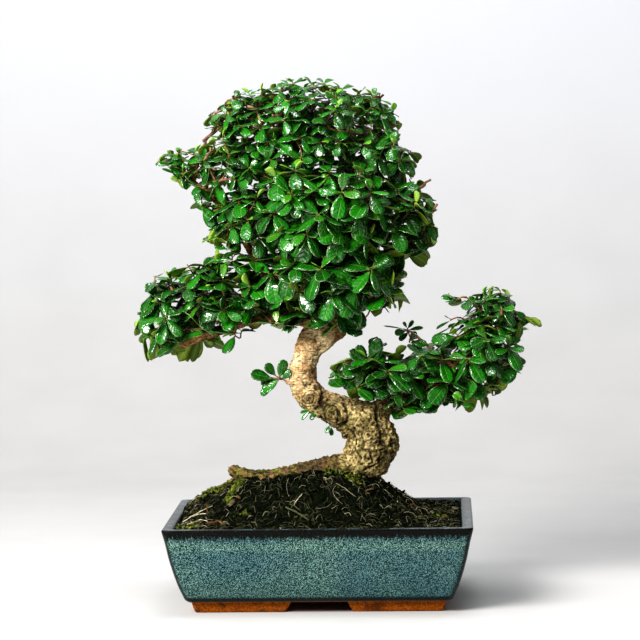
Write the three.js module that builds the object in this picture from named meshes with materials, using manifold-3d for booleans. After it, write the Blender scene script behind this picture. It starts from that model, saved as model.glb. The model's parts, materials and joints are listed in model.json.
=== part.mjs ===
// A Fukien tea bonsai, Carmona retusa: an S-shaped trunk with clouds of glossy spoon-shaped leaves,
// planted in a mound of soil in a glazed rectangular pot on unglazed feet.
// Millimetres, +Z up, X along the pot and Y through it, with the front at -Y.
// The origin is on the table, under the middle of the whole. The lists of points below count from the
// middle of the pot, which stands a little to the left of it.

import * as THREE from "three";
import { mergeVertices } from "three/addons/utils/BufferGeometryUtils.js";
import Module from "manifold-3d";

const wasm = await Module();
wasm.setup();

// Driving dimensions of the pot: a stock size, 250 mm over the rim
const POT_LENGTH = 250;
const POT_DEPTH = 184;
const POT_HEIGHT = 71;
const WALL = 9;
const FLOOR = 7;
const FOOT_HEIGHT = 9.4;
const FOOT_INSET = 24;
const FOOT_WIDTH = 15;
const FOOT_GAP_FRONT = 44;
const FOOT_GAP_SIDE = 38;
const FOOT_SLOPE = 5;
const FOOT_TAPER = 3;
const FOOT_SUNK = 1.5;
const CORNER_RADIUS = 5;
const CORNER_STEPS = 3;
const DRAIN_RADIUS = 8;
const DRAIN_OFFSET = 55;

// How far the outside of the pot has drawn in at each height, as the clay wall curves to its base
const POT_PROFILE = [
  { z: 9.4, inset: 19.5 },
  { z: 11, inset: 17 },
  { z: 17, inset: 14.2 },
  { z: 27, inset: 10.4 },
  { z: 44, inset: 5.6 },
  { z: 59, inset: 2.5 },
  { z: 69.5, inset: 0 },
  { z: 71, inset: 1 },
];
const RIM_SHOULDER = 69.5;
const INSIDE_HEIGHTS = [24.4, 44, 59];

// Space left between pieces that touch
const GAP = 0.3;

// The plastic screens over the drain holes
const SCREEN_SIDE = 30;
const SCREEN_THICKNESS = 1.2;
const SCREEN_HOLES = 2;
const SCREEN_BAR = 1.8;

// The soil: its level at the rim, its mound, and where the mound's crest runs
const SOIL_EDGE = 68.3;
const SOIL_RISE = 36.7;
const SOIL_RINGS = [1, 0.88, 0.74, 0.6, 0.46, 0.32, 0.16];
const SOIL_SIDE_POINTS = [4, 2];
const CREST_FROM = -60;
const CREST_TO = 46;
const CREST_Y = -2;

// Trunk, root and branches: points with x, y, z and the radius there
const TRUNK = [
  [28, 3, 78, 12],
  [28, 2, 92, 13],
  [30, 1, 103, 15.5],
  [37, 0, 116, 21],
  [43, -1, 129, 22.5],
  [39, -2, 143, 19.5],
  [27, -3, 151, 16],
  [12, -2, 157, 13.5],
  [0, -1, 164, 11.5],
  [-9, 0, 172, 12],
  [-14.5, 1, 183, 11.2],
  [-15.5, 1, 195, 10.8],
  [-11.5, 0, 208, 11.6],
  [-2, 0, 220, 12],
  [7, 0, 232, 9.8],
  [11, 1, 246, 7.8],
];
const LEADER = [
  [9, 1, 241, 8],
  [11, 2, 256, 7.2],
  [10, 3, 275, 6.6],
  [3, 2, 300, 5.6],
  [-5, 0, 328, 4.6],
  [-8, 0, 352, 3.6],
  [-8, 0, 372, 2.4],
];
const TRUNK_SIDES = 10;
const TRUNK_STATIONS = 19;
const LOBE_SIDES = 6;
const KNOB_DEPTH = 0.1;

const LOBES = [
  // the knuckle that the right branch grows from, and the buttress beside it
  [[38, -1, 136, 14], [45, 0, 148, 13.5], [52, 0, 159, 9.5], [55, 0, 166, 6]],
  [[49, 3, 111, 5], [56, 3, 119, 8], [57, 2, 132, 8.5], [54, 1, 147, 6]],
  // the stump that leans right from the first fork, and rounded burls on the front
  [[-4, 0, 212, 10], [8, -2, 219, 9], [18, -3, 223, 7], [23, -3, 225, 4]],
  [[17, -7, 154, 11], [18, -12.5, 153, 9.5], [18.5, -16, 153, 5.5]],
  [[41, -12, 137, 13], [41, -19.5, 136, 10.5], [41, -23, 136, 6]],
  [[-8, -4, 169, 10], [-8, -9, 169, 8], [-8, -12, 169, 4.5]],
];

const ROOTS = [
  [[30, -5, 110, 13], [13, -8, 112, 9.5], [-4, -8, 110.5, 7.3], [-21, -8, 107, 6], [-40, -7, 104, 5.4],
    [-56, -6, 103, 5.6], [-67, -5, 105, 6.2], [-75, -4, 109.5, 4.2]],
  [[-46, -8, 103, 5], [-50, -14, 98, 4.4], [-53, -20, 90, 3.2]],
  [[-64, 0, 101, 4.5], [-74, 7, 97, 2.8], [-88, 12, 90, 2.4], [-101, 17, 81, 2]],
  [[30, 12, 104, 12], [24, 26, 96, 8], [12, 40, 84, 5.5]],
];

const BRANCHES = {
  left: [[4, 0, 226, 7], [-20, -3, 235, 5.4], [-39, -6, 235, 4.8], [-59, -9, 231, 4.4], [-78, -10, 226, 4.3],
    [-100, -9, 218, 4.2], [-114, -6, 212, 3.8]],
  left_upper: [[9, 2, 250, 6], [-25, -4, 262, 4.8], [-47, -8, 275, 4], [-59, -8, 298, 3.4],
    [-74, -6, 322, 2.8],
    [-90, -6, 339, 2.2], [-104, -5, 350, 1.6]],
  right_upper: [[4, 2, 298, 5], [20, 0, 322, 3.8], [38, 2, 346, 3], [52, 3, 364, 2.2]],
  right_middle: [[10, 3, 262, 5.5], [30, 0, 282, 4.2], [50, -3, 300, 3.2], [64, -2, 316, 2.2]],
  right_lower: [[6, 0, 232, 7], [22, -4, 234, 5], [36, -7, 244, 3.6], [46, -6, 256, 2.4]],
  front_upper: [[6, 0, 285, 5], [4, -20, 304, 3.6], [3, -34, 320, 2.4]],
  front_lower: [[9, 0, 245, 5.5], [12, -18, 258, 4], [12, -32, 270, 2.6]],
  back_upper: [[7, 4, 285, 5], [7, 24, 305, 3.6], [7, 40, 322, 2.4]],
  back_lower: [[9, 3, 248, 5.5], [11, 20, 260, 4], [11, 35, 273, 2.6]],
  right: [[50, 0, 156, 8], [64, 0, 168, 5.2], [89, 1, 174, 4.2], [106, 1, 184, 3.6], [120, 0, 199, 3.1],
    [130, 0, 219, 2.5], [138, 0, 234, 1.8]],
  sprig: [[-14, -3, 171, 3], [-22, -6, 178, 1.9], [-28, -7, 182, 1.5]],
};
const BRANCH_SIDES = 5;

// The foliage clouds: ellipsoids of shoot tips, each with its middle, half sizes and the leaf length in it
const CLOUDS = [
  { name: "top", at: [-10, 0, 388], half: [60, 48, 33], leaf: 12.5 },
  { name: "high_left", at: [-63, -4, 400], half: [22, 24, 18], leaf: 12 },
  { name: "high_right", at: [43, 2, 403], half: [18, 20, 14], leaf: 11.5 },
  { name: "top_left", at: [-58, -4, 362], half: [40, 36, 26], leaf: 12.5 },
  { name: "left_tip", at: [-115, -4, 361], half: [15, 13, 11], leaf: 11 },
  { name: "top_right", at: [48, 4, 369], half: [32, 38, 28], leaf: 13 },
  { name: "mid_left", at: [-52, -6, 318], half: [32, 36, 28], leaf: 14.5 },
  { name: "mid_right", at: [61, 0, 321], half: [29, 36, 30], leaf: 16 },
  { name: "front", at: [6, -38, 325], half: [50, 32, 40], leaf: 17 },
  { name: "back", at: [6, 42, 325], half: [55, 34, 44], leaf: 15 },
  { name: "low_front", at: [12, -34, 275], half: [50, 30, 34], leaf: 18.5 },
  { name: "low_back", at: [10, 36, 278], half: [50, 30, 32], leaf: 17 },
  { name: "low_right", at: [44, -4, 263], half: [25, 30, 25], leaf: 18.5 },
  { name: "low_left", at: [-40, -4, 264], half: [28, 28, 24], leaf: 17 },
  { name: "left_inner", at: [-78, -8, 252], half: [34, 28, 23], leaf: 17 },
  { name: "left_outer", at: [-118, -6, 232], half: [31, 28, 29], leaf: 18.5 },
  { name: "right_inner", at: [48, -12, 187], half: [33, 24, 20], leaf: 17.5 },
  { name: "right_shoot", at: [74, -4, 223], half: [12, 12, 7], leaf: 11 },
  { name: "right_middle", at: [92, 4, 186], half: [26, 26, 24], leaf: 15.5 },
  { name: "right_outer", at: [136, 0, 205], half: [34, 30, 31], leaf: 15 },
  { name: "right_top", at: [145, 0, 243], half: [24, 18, 12], leaf: 12.5 },
  { name: "sprig", at: [-38, -8, 188], half: [12, 10, 10], leaf: 14 },
];

// How the sprays and their shoots are spread over the clouds. A cloud this small has a single spray.
const SPRAY_SPACING = 53.5;
const SINGLE_SPRAY = 20;
const CANDIDATES = 90;
const LOWEST_FACING = -0.4;
const SPRAY_INSIDE = 0.93;
const SHOOT_INSIDE = 0.85;
const SPRAY_REACH = 25;
const SHOOTS = 10;
const SHOOTS_HERE = 3;
const LOWEST_SHOOT = 150;
const SPRAY_SEED = 7919;
const GOLDEN_ANGLE = Math.PI * (3 - Math.sqrt(5));

// A limb leaves the wood for a spray and sags a little. Its last stretch, up to STEM_REACH, is the
// spray's own stem.
const STEM_REACH = 26;
const STEM_SHARE = 0.55;
const LEAST_LIMB = 0.3;
const LIMB_SAG = 0.07;
const LIMB_RADIUS = 2.8;
const FORK_SHARE = 0.45;
const UPHILL_COST = 0.5;
const LIMB_CHOICES = 60;

// Leaf and twig sizes. A leaf is widest at LEAF_WIDEST of its length, and its blunt end is narrower.
const BLADE_THICKNESS = 0.7;
const LEAF_WIDTH = 0.6;
const LEAF_WIDEST = 0.68;
const LEAF_BLUNT = 0.52;
const SIDE_LEAN = 68;
const TIP_LEAN = 26;
const TIP_LEAF = 0.8;
const STEM_RADIUS = 1.5;
const TWIG_RADIUS = 0.9;
const NODE_LENGTH = 2.6;
const BUD_LENGTH = 1.6;
const CLEARANCE = 1.5;
const TWIG_CLEARANCE = 1.2;
const LEAF_TRIES = 8;

// A twig bows this far out, and leaves the fork by a face that looks its way, apart from the others
const TWIG_BOW = 1.5;
const SHORTEST_TWIG = 2.5;
const LEAST_FIT = 0.42;
const CLOSEST_WAYS = 0.78;

const COLOURS = {
  pot: { color: 0x3f7f88, roughness: 0.25, metalness: 0 },
  screen: { color: 0x20242a, roughness: 0.6, metalness: 0 },
  soil: { color: 0x241d17, roughness: 1, metalness: 0 },
  wood: { color: 0xb09873, roughness: 0.9, metalness: 0 },
  leaf: { color: 0x1f6a2b, roughness: 0.3, metalness: 0 },
};

// Small helpers: random numbers, vectors and solids

function seededRandom(seed) {
  let state = seed >>> 0;
  return () => {
    state = (state + 0x6d2b79f5) >>> 0;
    let t = Math.imul(state ^ (state >>> 15), state | 1);
    t ^= t + Math.imul(t ^ (t >>> 7), t | 61);
    return ((t ^ (t >>> 14)) >>> 0) / 4294967296;
  };
}

const vec = (x, y, z) => new THREE.Vector3(x, y, z);
const UP = vec(0, 0, 1);

function solidFrom(geometry) {
  const plain = geometry.clone();
  plain.deleteAttribute("normal");
  plain.deleteAttribute("uv");
  const merged = mergeVertices(plain, 1e-4);
  return new wasm.Manifold(
    new wasm.Mesh({
      numProp: 3,
      vertProperties: new Float32Array(merged.attributes.position.array),
      triVerts: new Uint32Array(merged.index.array),
    }),
  );
}

function geometryFrom(solid) {
  const mesh = solid.getMesh();
  const positions = new Float32Array(mesh.numVert * 3);
  for (let i = 0; i < mesh.numVert; i++) {
    const start = i * mesh.numProp;
    positions.set(mesh.vertProperties.subarray(start, start + 3), i * 3);
  }
  const geometry = new THREE.BufferGeometry();
  geometry.setAttribute("position", new THREE.BufferAttribute(positions, 3));
  geometry.setIndex(new THREE.BufferAttribute(new Uint32Array(mesh.triVerts), 1));
  return geometry;
}

// A closed surface through rings of points, each ring turning the same way round the line they follow.
// A flat fan closes each end.
function loft(rings) {
  const sides = rings[0].length;
  const positions = rings.flat().flatMap((p) => [p.x, p.y, p.z]);
  const index = [];
  for (let r = 0; r + 1 < rings.length; r++) {
    for (let i = 0; i < sides; i++) {
      const a = r * sides + i;
      const b = r * sides + ((i + 1) % sides);
      index.push(a, b, b + sides, a, b + sides, a + sides);
    }
  }
  const last = (rings.length - 1) * sides;
  for (let i = 1; i + 1 < sides; i++) {
    index.push(0, i + 1, i, last, last + i, last + i + 1);
  }
  const geometry = new THREE.BufferGeometry();
  geometry.setAttribute("position", new THREE.Float32BufferAttribute(positions, 3));
  geometry.setIndex(index);
  return geometry;
}

// Points round a path. Each path point is [x, y, z, radius]; reach(angle, share) may push the bark out.
function tubeRings(path, sides, stations, grow = 0, reach = () => 1) {
  const curve = new THREE.CatmullRomCurve3(
    path.map(([x, y, z]) => vec(x, y, z)),
    false,
    "centripetal",
  );
  const rings = [];
  let across = null;
  for (let s = 0; s <= stations; s++) {
    const share = s / stations;
    const along = share * (path.length - 1);
    const at = curve.getPoint(share);
    const ahead = curve.getTangent(share);
    across = across ?? vec(0.13, 1, 0.07);
    across = across.clone().addScaledVector(ahead, -across.dot(ahead)).normalize();
    const side = ahead.clone().cross(across);
    const low = Math.min(path.length - 2, Math.floor(along));
    const radius = THREE.MathUtils.lerp(path[low][3], path[low + 1][3], along - low) + grow;
    const ring = [];
    for (let i = 0; i < sides; i++) {
      const angle = (2 * Math.PI * i) / sides;
      const r = radius * reach(angle, share);
      ring.push(
        at
          .clone()
          .addScaledVector(across, r * Math.cos(angle))
          .addScaledVector(side, r * Math.sin(angle)),
      );
    }
    rings.push(ring);
  }
  return rings;
}

function tube(path, sides, stations, grow, reach) {
  return solidFrom(loft(tubeRings(path, sides, stations, grow, reach)));
}

// A level rectangle with round corners, as a ring of points; `between` adds points along its sides
function roundedRectangle(halfX, halfY, radius, z, between = [0, 0]) {
  const ring = [];
  const quarters = [[1, 1], [-1, 1], [-1, -1], [1, -1]];
  quarters.forEach(([sx, sy], quarter) => {
    for (let i = 0; i <= CORNER_STEPS; i++) {
      const angle = (Math.PI / 2) * (quarter + i / CORNER_STEPS);
      ring.push(
        vec(
          sx * (halfX - radius) + radius * Math.cos(angle),
          sy * (halfY - radius) + radius * Math.sin(angle),
          z,
        ),
      );
    }
    const [tx, ty] = quarters[(quarter + 1) % 4];
    const from = ring[ring.length - 1].clone();
    const to = vec(
      tx * (halfX - radius) + (quarter % 2 ? sx * radius : 0),
      ty * (halfY - radius) + (quarter % 2 ? 0 : sy * radius),
      z,
    );
    const count = between[quarter % 2];
    for (let k = 1; k <= count; k++) {
      ring.push(from.clone().lerp(to, k / (count + 1)));
    }
  });
  return ring;
}

function meshOf(name, solid, look) {
  const mesh = new THREE.Mesh(geometryFrom(solid), new THREE.MeshStandardMaterial(look));
  mesh.name = name;
  return mesh;
}

// The pot: one piece of fired clay, glazed down to the bare feet

function wallInset(z) {
  const above = POT_PROFILE.findIndex((p) => p.z >= z);
  const low = POT_PROFILE[Math.max(0, above - 1)];
  const high = POT_PROFILE[above];
  const share = high.z > low.z ? (z - low.z) / (high.z - low.z) : 0;
  return THREE.MathUtils.lerp(low.inset, high.inset, share);
}

// A ring inside the pot's wall, `off` millimetres in from its outside
function potRing(z, off, between) {
  const inset = wallInset(Math.min(z, RIM_SHOULDER)) + off;
  return roundedRectangle(POT_LENGTH / 2 - inset, POT_DEPTH / 2 - inset, CORNER_RADIUS, z, between);
}

const POT_FLOOR = FOOT_HEIGHT + FLOOR;

function footRing() {
  const outerX = POT_LENGTH / 2 - FOOT_INSET;
  const outerY = POT_DEPTH / 2 - FOOT_INSET;
  const skirt = solidFrom(
    loft([
      roundedRectangle(outerX - FOOT_TAPER, outerY - FOOT_TAPER, CORNER_RADIUS, 0),
      roundedRectangle(outerX, outerY, CORNER_RADIUS, FOOT_HEIGHT + FOOT_SUNK),
    ]),
  );
  const hollow = solidFrom(
    loft([
      roundedRectangle(outerX - FOOT_WIDTH, outerY - FOOT_WIDTH, CORNER_RADIUS, -1),
      roundedRectangle(outerX - FOOT_WIDTH - 1, outerY - FOOT_WIDTH - 1, CORNER_RADIUS, FOOT_HEIGHT),
    ]),
  );
  const notches = footNotch(FOOT_GAP_FRONT, 0).add(footNotch(FOOT_GAP_SIDE, Math.PI / 2));
  return skirt.subtract(hollow).subtract(notches);
}

// The sloped notch that parts the feet, cut right across the skirt
function footNotch(width, turn) {
  const half = width / 2;
  const outline = new THREE.Shape([
    new THREE.Vector2(-half - FOOT_SLOPE, -1),
    new THREE.Vector2(half + FOOT_SLOPE, -1),
    new THREE.Vector2(half, FOOT_HEIGHT),
    new THREE.Vector2(-half, FOOT_HEIGHT),
  ]);
  const notch = new THREE.ExtrudeGeometry(outline, { depth: POT_LENGTH, bevelEnabled: false });
  notch.translate(0, 0, -POT_LENGTH / 2).rotateX(Math.PI / 2).rotateZ(turn);
  return solidFrom(notch);
}

function makePot() {
  const outside = solidFrom(
    loft(
      POT_PROFILE.map(({ z, inset }) =>
        roundedRectangle(POT_LENGTH / 2 - inset, POT_DEPTH / 2 - inset, CORNER_RADIUS + 1, z),
      ),
    ),
  );
  const heights = [POT_FLOOR, ...INSIDE_HEIGHTS, RIM_SHOULDER, POT_HEIGHT + 2];
  const inside = solidFrom(loft(heights.map((z) => potRing(z, WALL))));
  let pot = outside.add(footRing()).subtract(inside);
  for (const x of [-DRAIN_OFFSET, DRAIN_OFFSET]) {
    const hole = new THREE.CylinderGeometry(DRAIN_RADIUS, DRAIN_RADIUS, 30, 12);
    pot = pot.subtract(solidFrom(hole.rotateX(Math.PI / 2).translate(x, 0, POT_FLOOR)));
  }
  return pot;
}

// The screens that keep the soil in over the drain holes

function makeScreen(x) {
  const height = SCREEN_THICKNESS;
  const middle = POT_FLOOR + GAP + height / 2;
  const plate = new THREE.BoxGeometry(SCREEN_SIDE, SCREEN_SIDE, height).translate(x, 0, middle);
  const pitch = (SCREEN_SIDE - SCREEN_BAR) / SCREEN_HOLES;
  const side = pitch - SCREEN_BAR;
  const holes = [];
  for (let i = 0; i < SCREEN_HOLES; i++) {
    for (let j = 0; j < SCREEN_HOLES; j++) {
      const hole = new THREE.BoxGeometry(side, side, 3 * height);
      const out = (SCREEN_HOLES - 1) / 2;
      holes.push(solidFrom(hole.translate(x + pitch * (i - out), pitch * (j - out), middle)));
    }
  }
  return solidFrom(plate).subtract(wasm.Manifold.union(holes));
}

// The soil: it fills the pot and mounds up round the base of the tree

const smooth = (t) => {
  const c = THREE.MathUtils.clamp(t, 0, 1);
  return c * c * (3 - 2 * c);
};

function soilHeight(x, y) {
  const edgeX = POT_LENGTH / 2 - WALL;
  const edgeY = POT_DEPTH / 2 - WALL;
  const pastLeft = (CREST_FROM - x) / (CREST_FROM + edgeX);
  const pastRight = (x - CREST_TO) / (edgeX - CREST_TO);
  const pastCrest = Math.max(pastLeft, pastRight);
  const alongX = 1 - smooth(pastCrest) ** 0.9;
  const alongY = 1 - smooth(Math.abs(y - CREST_Y) / edgeY) ** 0.85;
  const lumps = 0.9 * Math.sin(x * 0.17 + 1.3) * Math.cos(y * 0.21) + 0.6 * Math.sin(x * 0.41 - y * 0.33);
  const toEdge = Math.max(Math.abs(x) / edgeX, Math.abs(y) / edgeY);
  return SOIL_EDGE + SOIL_RISE * alongX * alongY + lumps * (1 - Math.min(1, toEdge) ** 6);
}

function makeSoil(wood) {
  const off = WALL + GAP;
  const level = [POT_FLOOR + GAP, ...INSIDE_HEIGHTS].map((z) => potRing(z, off, SOIL_SIDE_POINTS));
  const edge = potRing(SOIL_EDGE, off, SOIL_SIDE_POINTS);
  const mound = SOIL_RINGS.map((scale) =>
    edge.map((p) => {
      const x = p.x * scale;
      const y = p.y * scale;
      return vec(x, y, soilHeight(x, y));
    }),
  );
  let soil = solidFrom(loft([...level, ...mound]));
  for (const x of [-DRAIN_OFFSET, DRAIN_OFFSET]) {
    const side = SCREEN_SIDE + 2 * GAP;
    const height = SCREEN_THICKNESS + 2 * GAP;
    const pocket = new THREE.BoxGeometry(side, side, 2 * height).translate(x, 0, POT_FLOOR + GAP);
    soil = soil.subtract(solidFrom(pocket));
  }
  return soil.subtract(wood);
}

// The wood: trunk, surface roots, branches and the limbs that carry the sprays

function barkReach(angle, share) {
  const knobs = Math.sin(3 * angle + 9 * share) * Math.sin(31 * share + 2 * angle);
  const ridges = Math.cos(5 * angle - 14 * share);
  return 1 + KNOB_DEPTH * (0.6 * knobs + 0.4 * ridges);
}

function makeTrunk(grow) {
  return wasm.Manifold.union([
    tube(TRUNK, TRUNK_SIDES, TRUNK_STATIONS, grow, barkReach),
    ...LOBES.map((path) => tube(path, LOBE_SIDES, path.length - 1, grow)),
    ...ROOTS.map((path) => tube(path, LOBE_SIDES, path.length, grow)),
  ]);
}

// Points along a path, each a ball that the path fills
function ballsAlong(path, step = 2) {
  const balls = [];
  for (let i = 0; i + 1 < path.length; i++) {
    const [ax, ay, az, ar] = path[i];
    const [bx, by, bz, br] = path[i + 1];
    const length = Math.hypot(bx - ax, by - ay, bz - az);
    const count = Math.max(1, Math.ceil(length / step));
    for (let k = 0; k < count; k++) {
      const t = k / count;
      balls.push({
        at: vec(ax + (bx - ax) * t, ay + (by - ay) * t, az + (bz - az) * t),
        radius: ar + (br - ar) * t,
      });
    }
  }
  return balls;
}

// The foliage

// How deep a point is in a cloud: 0 in its middle, 1 at its surface
function levelIn(cloud, p) {
  return Math.hypot(
    (p.x - cloud.at[0]) / cloud.half[0],
    (p.y - cloud.at[1]) / cloud.half[1],
    (p.z - cloud.at[2]) / cloud.half[2],
  );
}

function outwardFrom(cloud, p) {
  return vec(
    (p.x - cloud.at[0]) / cloud.half[0] ** 2,
    (p.y - cloud.at[1]) / cloud.half[1] ** 2,
    (p.z - cloud.at[2]) / cloud.half[2] ** 2,
  ).normalize();
}

function ontoCloud(cloud, p, level) {
  const scale = level / levelIn(cloud, p);
  return vec(
    cloud.at[0] + (p.x - cloud.at[0]) * scale,
    cloud.at[1] + (p.y - cloud.at[1]) * scale,
    cloud.at[2] + (p.z - cloud.at[2]) * scale,
  );
}

const hidden = (cloud, p, level) =>
  CLOUDS.some((other) => other !== cloud && levelIn(other, p) < level);

// Even points over every cloud, where it shows
function placeSprays() {
  const sprays = [];
  for (const cloud of CLOUDS) {
    if (cloud.half[0] < SINGLE_SPRAY) {
      sprays.push({ cloud, target: vec(...cloud.at).addScaledVector(UP, 0.3 * cloud.half[2]) });
      continue;
    }
    const spacing = SPRAY_SPACING * Math.min(1, 0.55 + cloud.half[0] / 100);
    for (let i = 0; i < CANDIDATES; i++) {
      const z = 1 - (2 * (i + 0.5)) / CANDIDATES;
      const ring = Math.sqrt(1 - z * z);
      const facing = vec(ring * Math.cos(i * GOLDEN_ANGLE), ring * Math.sin(i * GOLDEN_ANGLE), z);
      if (facing.z < LOWEST_FACING) continue;
      const target = vec(
        cloud.at[0] + facing.x * cloud.half[0],
        cloud.at[1] + facing.y * cloud.half[1],
        cloud.at[2] + facing.z * cloud.half[2],
      );
      if (hidden(cloud, target, SPRAY_INSIDE)) continue;
      if (sprays.some((s) => s.target.distanceTo(target) < spacing)) continue;
      sprays.push({ cloud, target });
    }
  }
  return sprays;
}

// A spray's own path if it leaves the wood at `from`: a limb, then after a gap the stem up to its fork
function sprayPath(spray, from) {
  const length = from.at.distanceTo(spray.target);
  const share = Math.max(LEAST_LIMB, 1 - Math.min(STEM_SHARE * length, STEM_REACH) / length);
  const base = from.at.clone().lerp(spray.target, share);
  base.z -= LIMB_SAG * length * share;
  const away = base.clone().sub(from.at).normalize();
  const start = base.clone().addScaledVector(away, GAP);
  const fork = start.clone().lerp(spray.target, FORK_SHARE).addScaledVector(away, TWIG_BOW);
  const end = fork.clone().addScaledVector(fork.clone().sub(start).normalize(), NODE_LENGTH);
  const thick = Math.min(from.radius * 0.85, LIMB_RADIUS);
  const limb = [[...from.at.toArray(), thick], [...base.toArray(), STEM_RADIUS]];
  const inside = Math.ceil((from.radius + 4) / 2);
  return {
    away,
    start,
    fork,
    end,
    limb,
    limbBalls: ballsAlong(limb).slice(inside),
    stemBalls: ballsAlong([[...start.toArray(), STEM_RADIUS], [...end.toArray(), STEM_RADIUS]], 1.5),
  };
}

// Each spray leaves the nearest wood from which its path is clear
function growLimbs(sprays, skeleton, woodBalls) {
  const limbBalls = [];
  const stemBalls = [];
  sprays.forEach((spray, number) => {
    spray.number = number;
    const order = skeleton
      .map((ball) => ({
        ball,
        reach: ball.at.distanceTo(spray.target) + UPHILL_COST * Math.max(0, ball.at.z - spray.target.z + 6),
      }))
      .sort((a, b) => a.reach - b.reach);
    for (const { ball } of order.slice(0, LIMB_CHOICES)) {
      const path = sprayPath(spray, ball);
      const stem = path.stemBalls.map((b) => b.at);
      const limb = path.limbBalls.map((b) => b.at);
      const clear =
        clearOfBalls(stem, [...woodBalls, ...limbBalls, ...stemBalls], STEM_RADIUS + 1) &&
        clearOfBalls(limb, stemBalls, 2.4);
      if (!clear) continue;
      Object.assign(spray, path);
      break;
    }
    if (!spray.limb) return;
    limbBalls.push(...spray.limbBalls);
    stemBalls.push(...spray.stemBalls);
  });
  return sprays.filter((spray) => spray.limb);
}

// The shoot tips of a spray: a spiral of points round its target, drawn onto the cloud
function shootTips(spray) {
  const { cloud, target, number } = spray;
  const random = seededRandom(SPRAY_SEED * (number + 1));
  const outward = outwardFrom(cloud, target);
  const along = vec(0.31, 0.17, 0.93).cross(outward).normalize();
  const over = outward.clone().cross(along);
  const reach = Math.min(SPRAY_REACH, 0.8 * cloud.half[0], 1.1 * cloud.half[2]);
  const start = random() * 2 * Math.PI;
  const tips = [];
  for (let i = 0; i < SHOOTS; i++) {
    const away = reach * Math.sqrt((i + 0.5) / SHOOTS);
    const angle = start + i * GOLDEN_ANGLE;
    const rise = random();
    const flat = target
      .clone()
      .addScaledVector(along, away * Math.cos(angle))
      .addScaledVector(over, away * Math.sin(angle));
    const at = ontoCloud(cloud, flat, 0.86 + 0.2 * rise);
    tips.push({ at, seed: Math.floor(random() * 1e9) });
  }
  return tips.filter((tip) => tip.at.z > LOWEST_SHOOT && !hidden(cloud, tip.at, SHOOT_INSIDE));
}

// A spray is one skin of four-sided stems. Stems and leaves grow out of the skin's own faces,
// so that nothing crosses: a face is four corners, turning left as seen from outside.
class Skin {
  constructor() {
    this.points = [];
    this.faces = [];
  }

  corners(points) {
    return points.map((p) => this.points.push(p) - 1);
  }

  middle(face) {
    const sum = vec(0, 0, 0);
    face.forEach((i) => sum.add(this.points[i]));
    return sum.divideScalar(4);
  }

  close(face) {
    const [a, b, c, d] = face;
    this.faces.push([a, b, c], [a, c, d]);
  }

  // The four sides between two rings of corners
  sidesBetween(from, to) {
    return from.map((_, i) => [from[i], from[(i + 1) % 4], to[(i + 1) % 4], to[i]]);
  }

  // A square ring of corners round `at`
  startRing(at, ahead, radius, corner = vec(0.13, 1, 0.07)) {
    const across = corner.clone().addScaledVector(ahead, -corner.dot(ahead)).normalize();
    const side = ahead.clone().cross(across);
    const ring = [];
    for (let i = 0; i < 4; i++) {
      const angle = (Math.PI / 2) * i;
      ring.push(
        at
          .clone()
          .addScaledVector(across, radius * Math.cos(angle))
          .addScaledVector(side, radius * Math.sin(angle)),
      );
    }
    return this.corners(ring);
  }

  // The next ring, turned to follow the ring it grows from
  ringAfter(from, at, ahead, radius) {
    return this.startRing(at, ahead, radius, this.points[from[0]].clone().sub(this.middle(from)));
  }

  // A stem from a face through a list of [point, radius]; it ends in a short node, whose five faces come back
  stem(face, path, nodeLength) {
    let ring = face;
    let ahead = null;
    path.forEach(([at, radius], i) => {
      const before = i > 0 ? path[i - 1][0] : this.middle(face);
      const after = i + 1 < path.length ? path[i + 1][0] : at;
      ahead = at.clone().sub(before).normalize();
      const turn = ahead.clone().add(after.clone().sub(at).normalize()).normalize();
      const next = this.ringAfter(ring, at, i + 1 < path.length ? turn : ahead, radius);
      this.sidesBetween(ring, next).forEach((side) => this.close(side));
      ring = next;
    });
    const [at, radius] = path[path.length - 1];
    const end = this.ringAfter(ring, at.clone().addScaledVector(ahead, nodeLength), ahead, radius * 0.9);
    return [...this.sidesBetween(ring, end), end];
  }

  // A leaf out of a face: an arched blade, widest near its blunt end, both of its sides cut alike
  leaf(face, leaf) {
    const half = BLADE_THICKNESS / 2;
    const wanted = [[-1, 1], [-1, -1], [1, -1], [1, 1]];
    const middle = this.middle(face);
    const match = [0, 1, 2, 3].map((turn) =>
      wanted.reduce((sum, [s, lift], i) => {
        const corner = this.points[face[(i + turn) % 4]].clone().sub(middle);
        return sum + s * corner.dot(leaf.across) + lift * corner.dot(leaf.normal);
      }, 0),
    );
    const turn = match.indexOf(Math.max(...match));
    let ring = wanted.map((_, i) => face[(i + turn) % 4]);
    for (const [t, s] of [[LEAF_WIDEST, 1], [1, LEAF_BLUNT]]) {
      const next = this.corners(wanted.map(([side, lift]) => leafPoint(leaf, t, side * s, lift * half)));
      const [left, under, right, top] = this.sidesBetween(ring, next);
      this.close(left);
      this.close(under);
      this.close(right);
      this.close([top[1], top[2], top[3], top[0]]);
      ring = next;
    }
    this.close(ring);
  }

  solid() {
    const geometry = new THREE.BufferGeometry();
    geometry.setAttribute(
      "position",
      new THREE.Float32BufferAttribute(this.points.flatMap((p) => p.toArray()), 3),
    );
    geometry.setIndex(this.faces.flat());
    return solidFrom(geometry);
  }
}

function leafPoint(leaf, t, s, lift) {
  return leaf.base
    .clone()
    .addScaledVector(leaf.along, leaf.length * t)
    .addScaledVector(leaf.across, 0.5 * leaf.width * s)
    .addScaledVector(leaf.normal, lift - leaf.curl * leaf.length * t * t);
}

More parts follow.
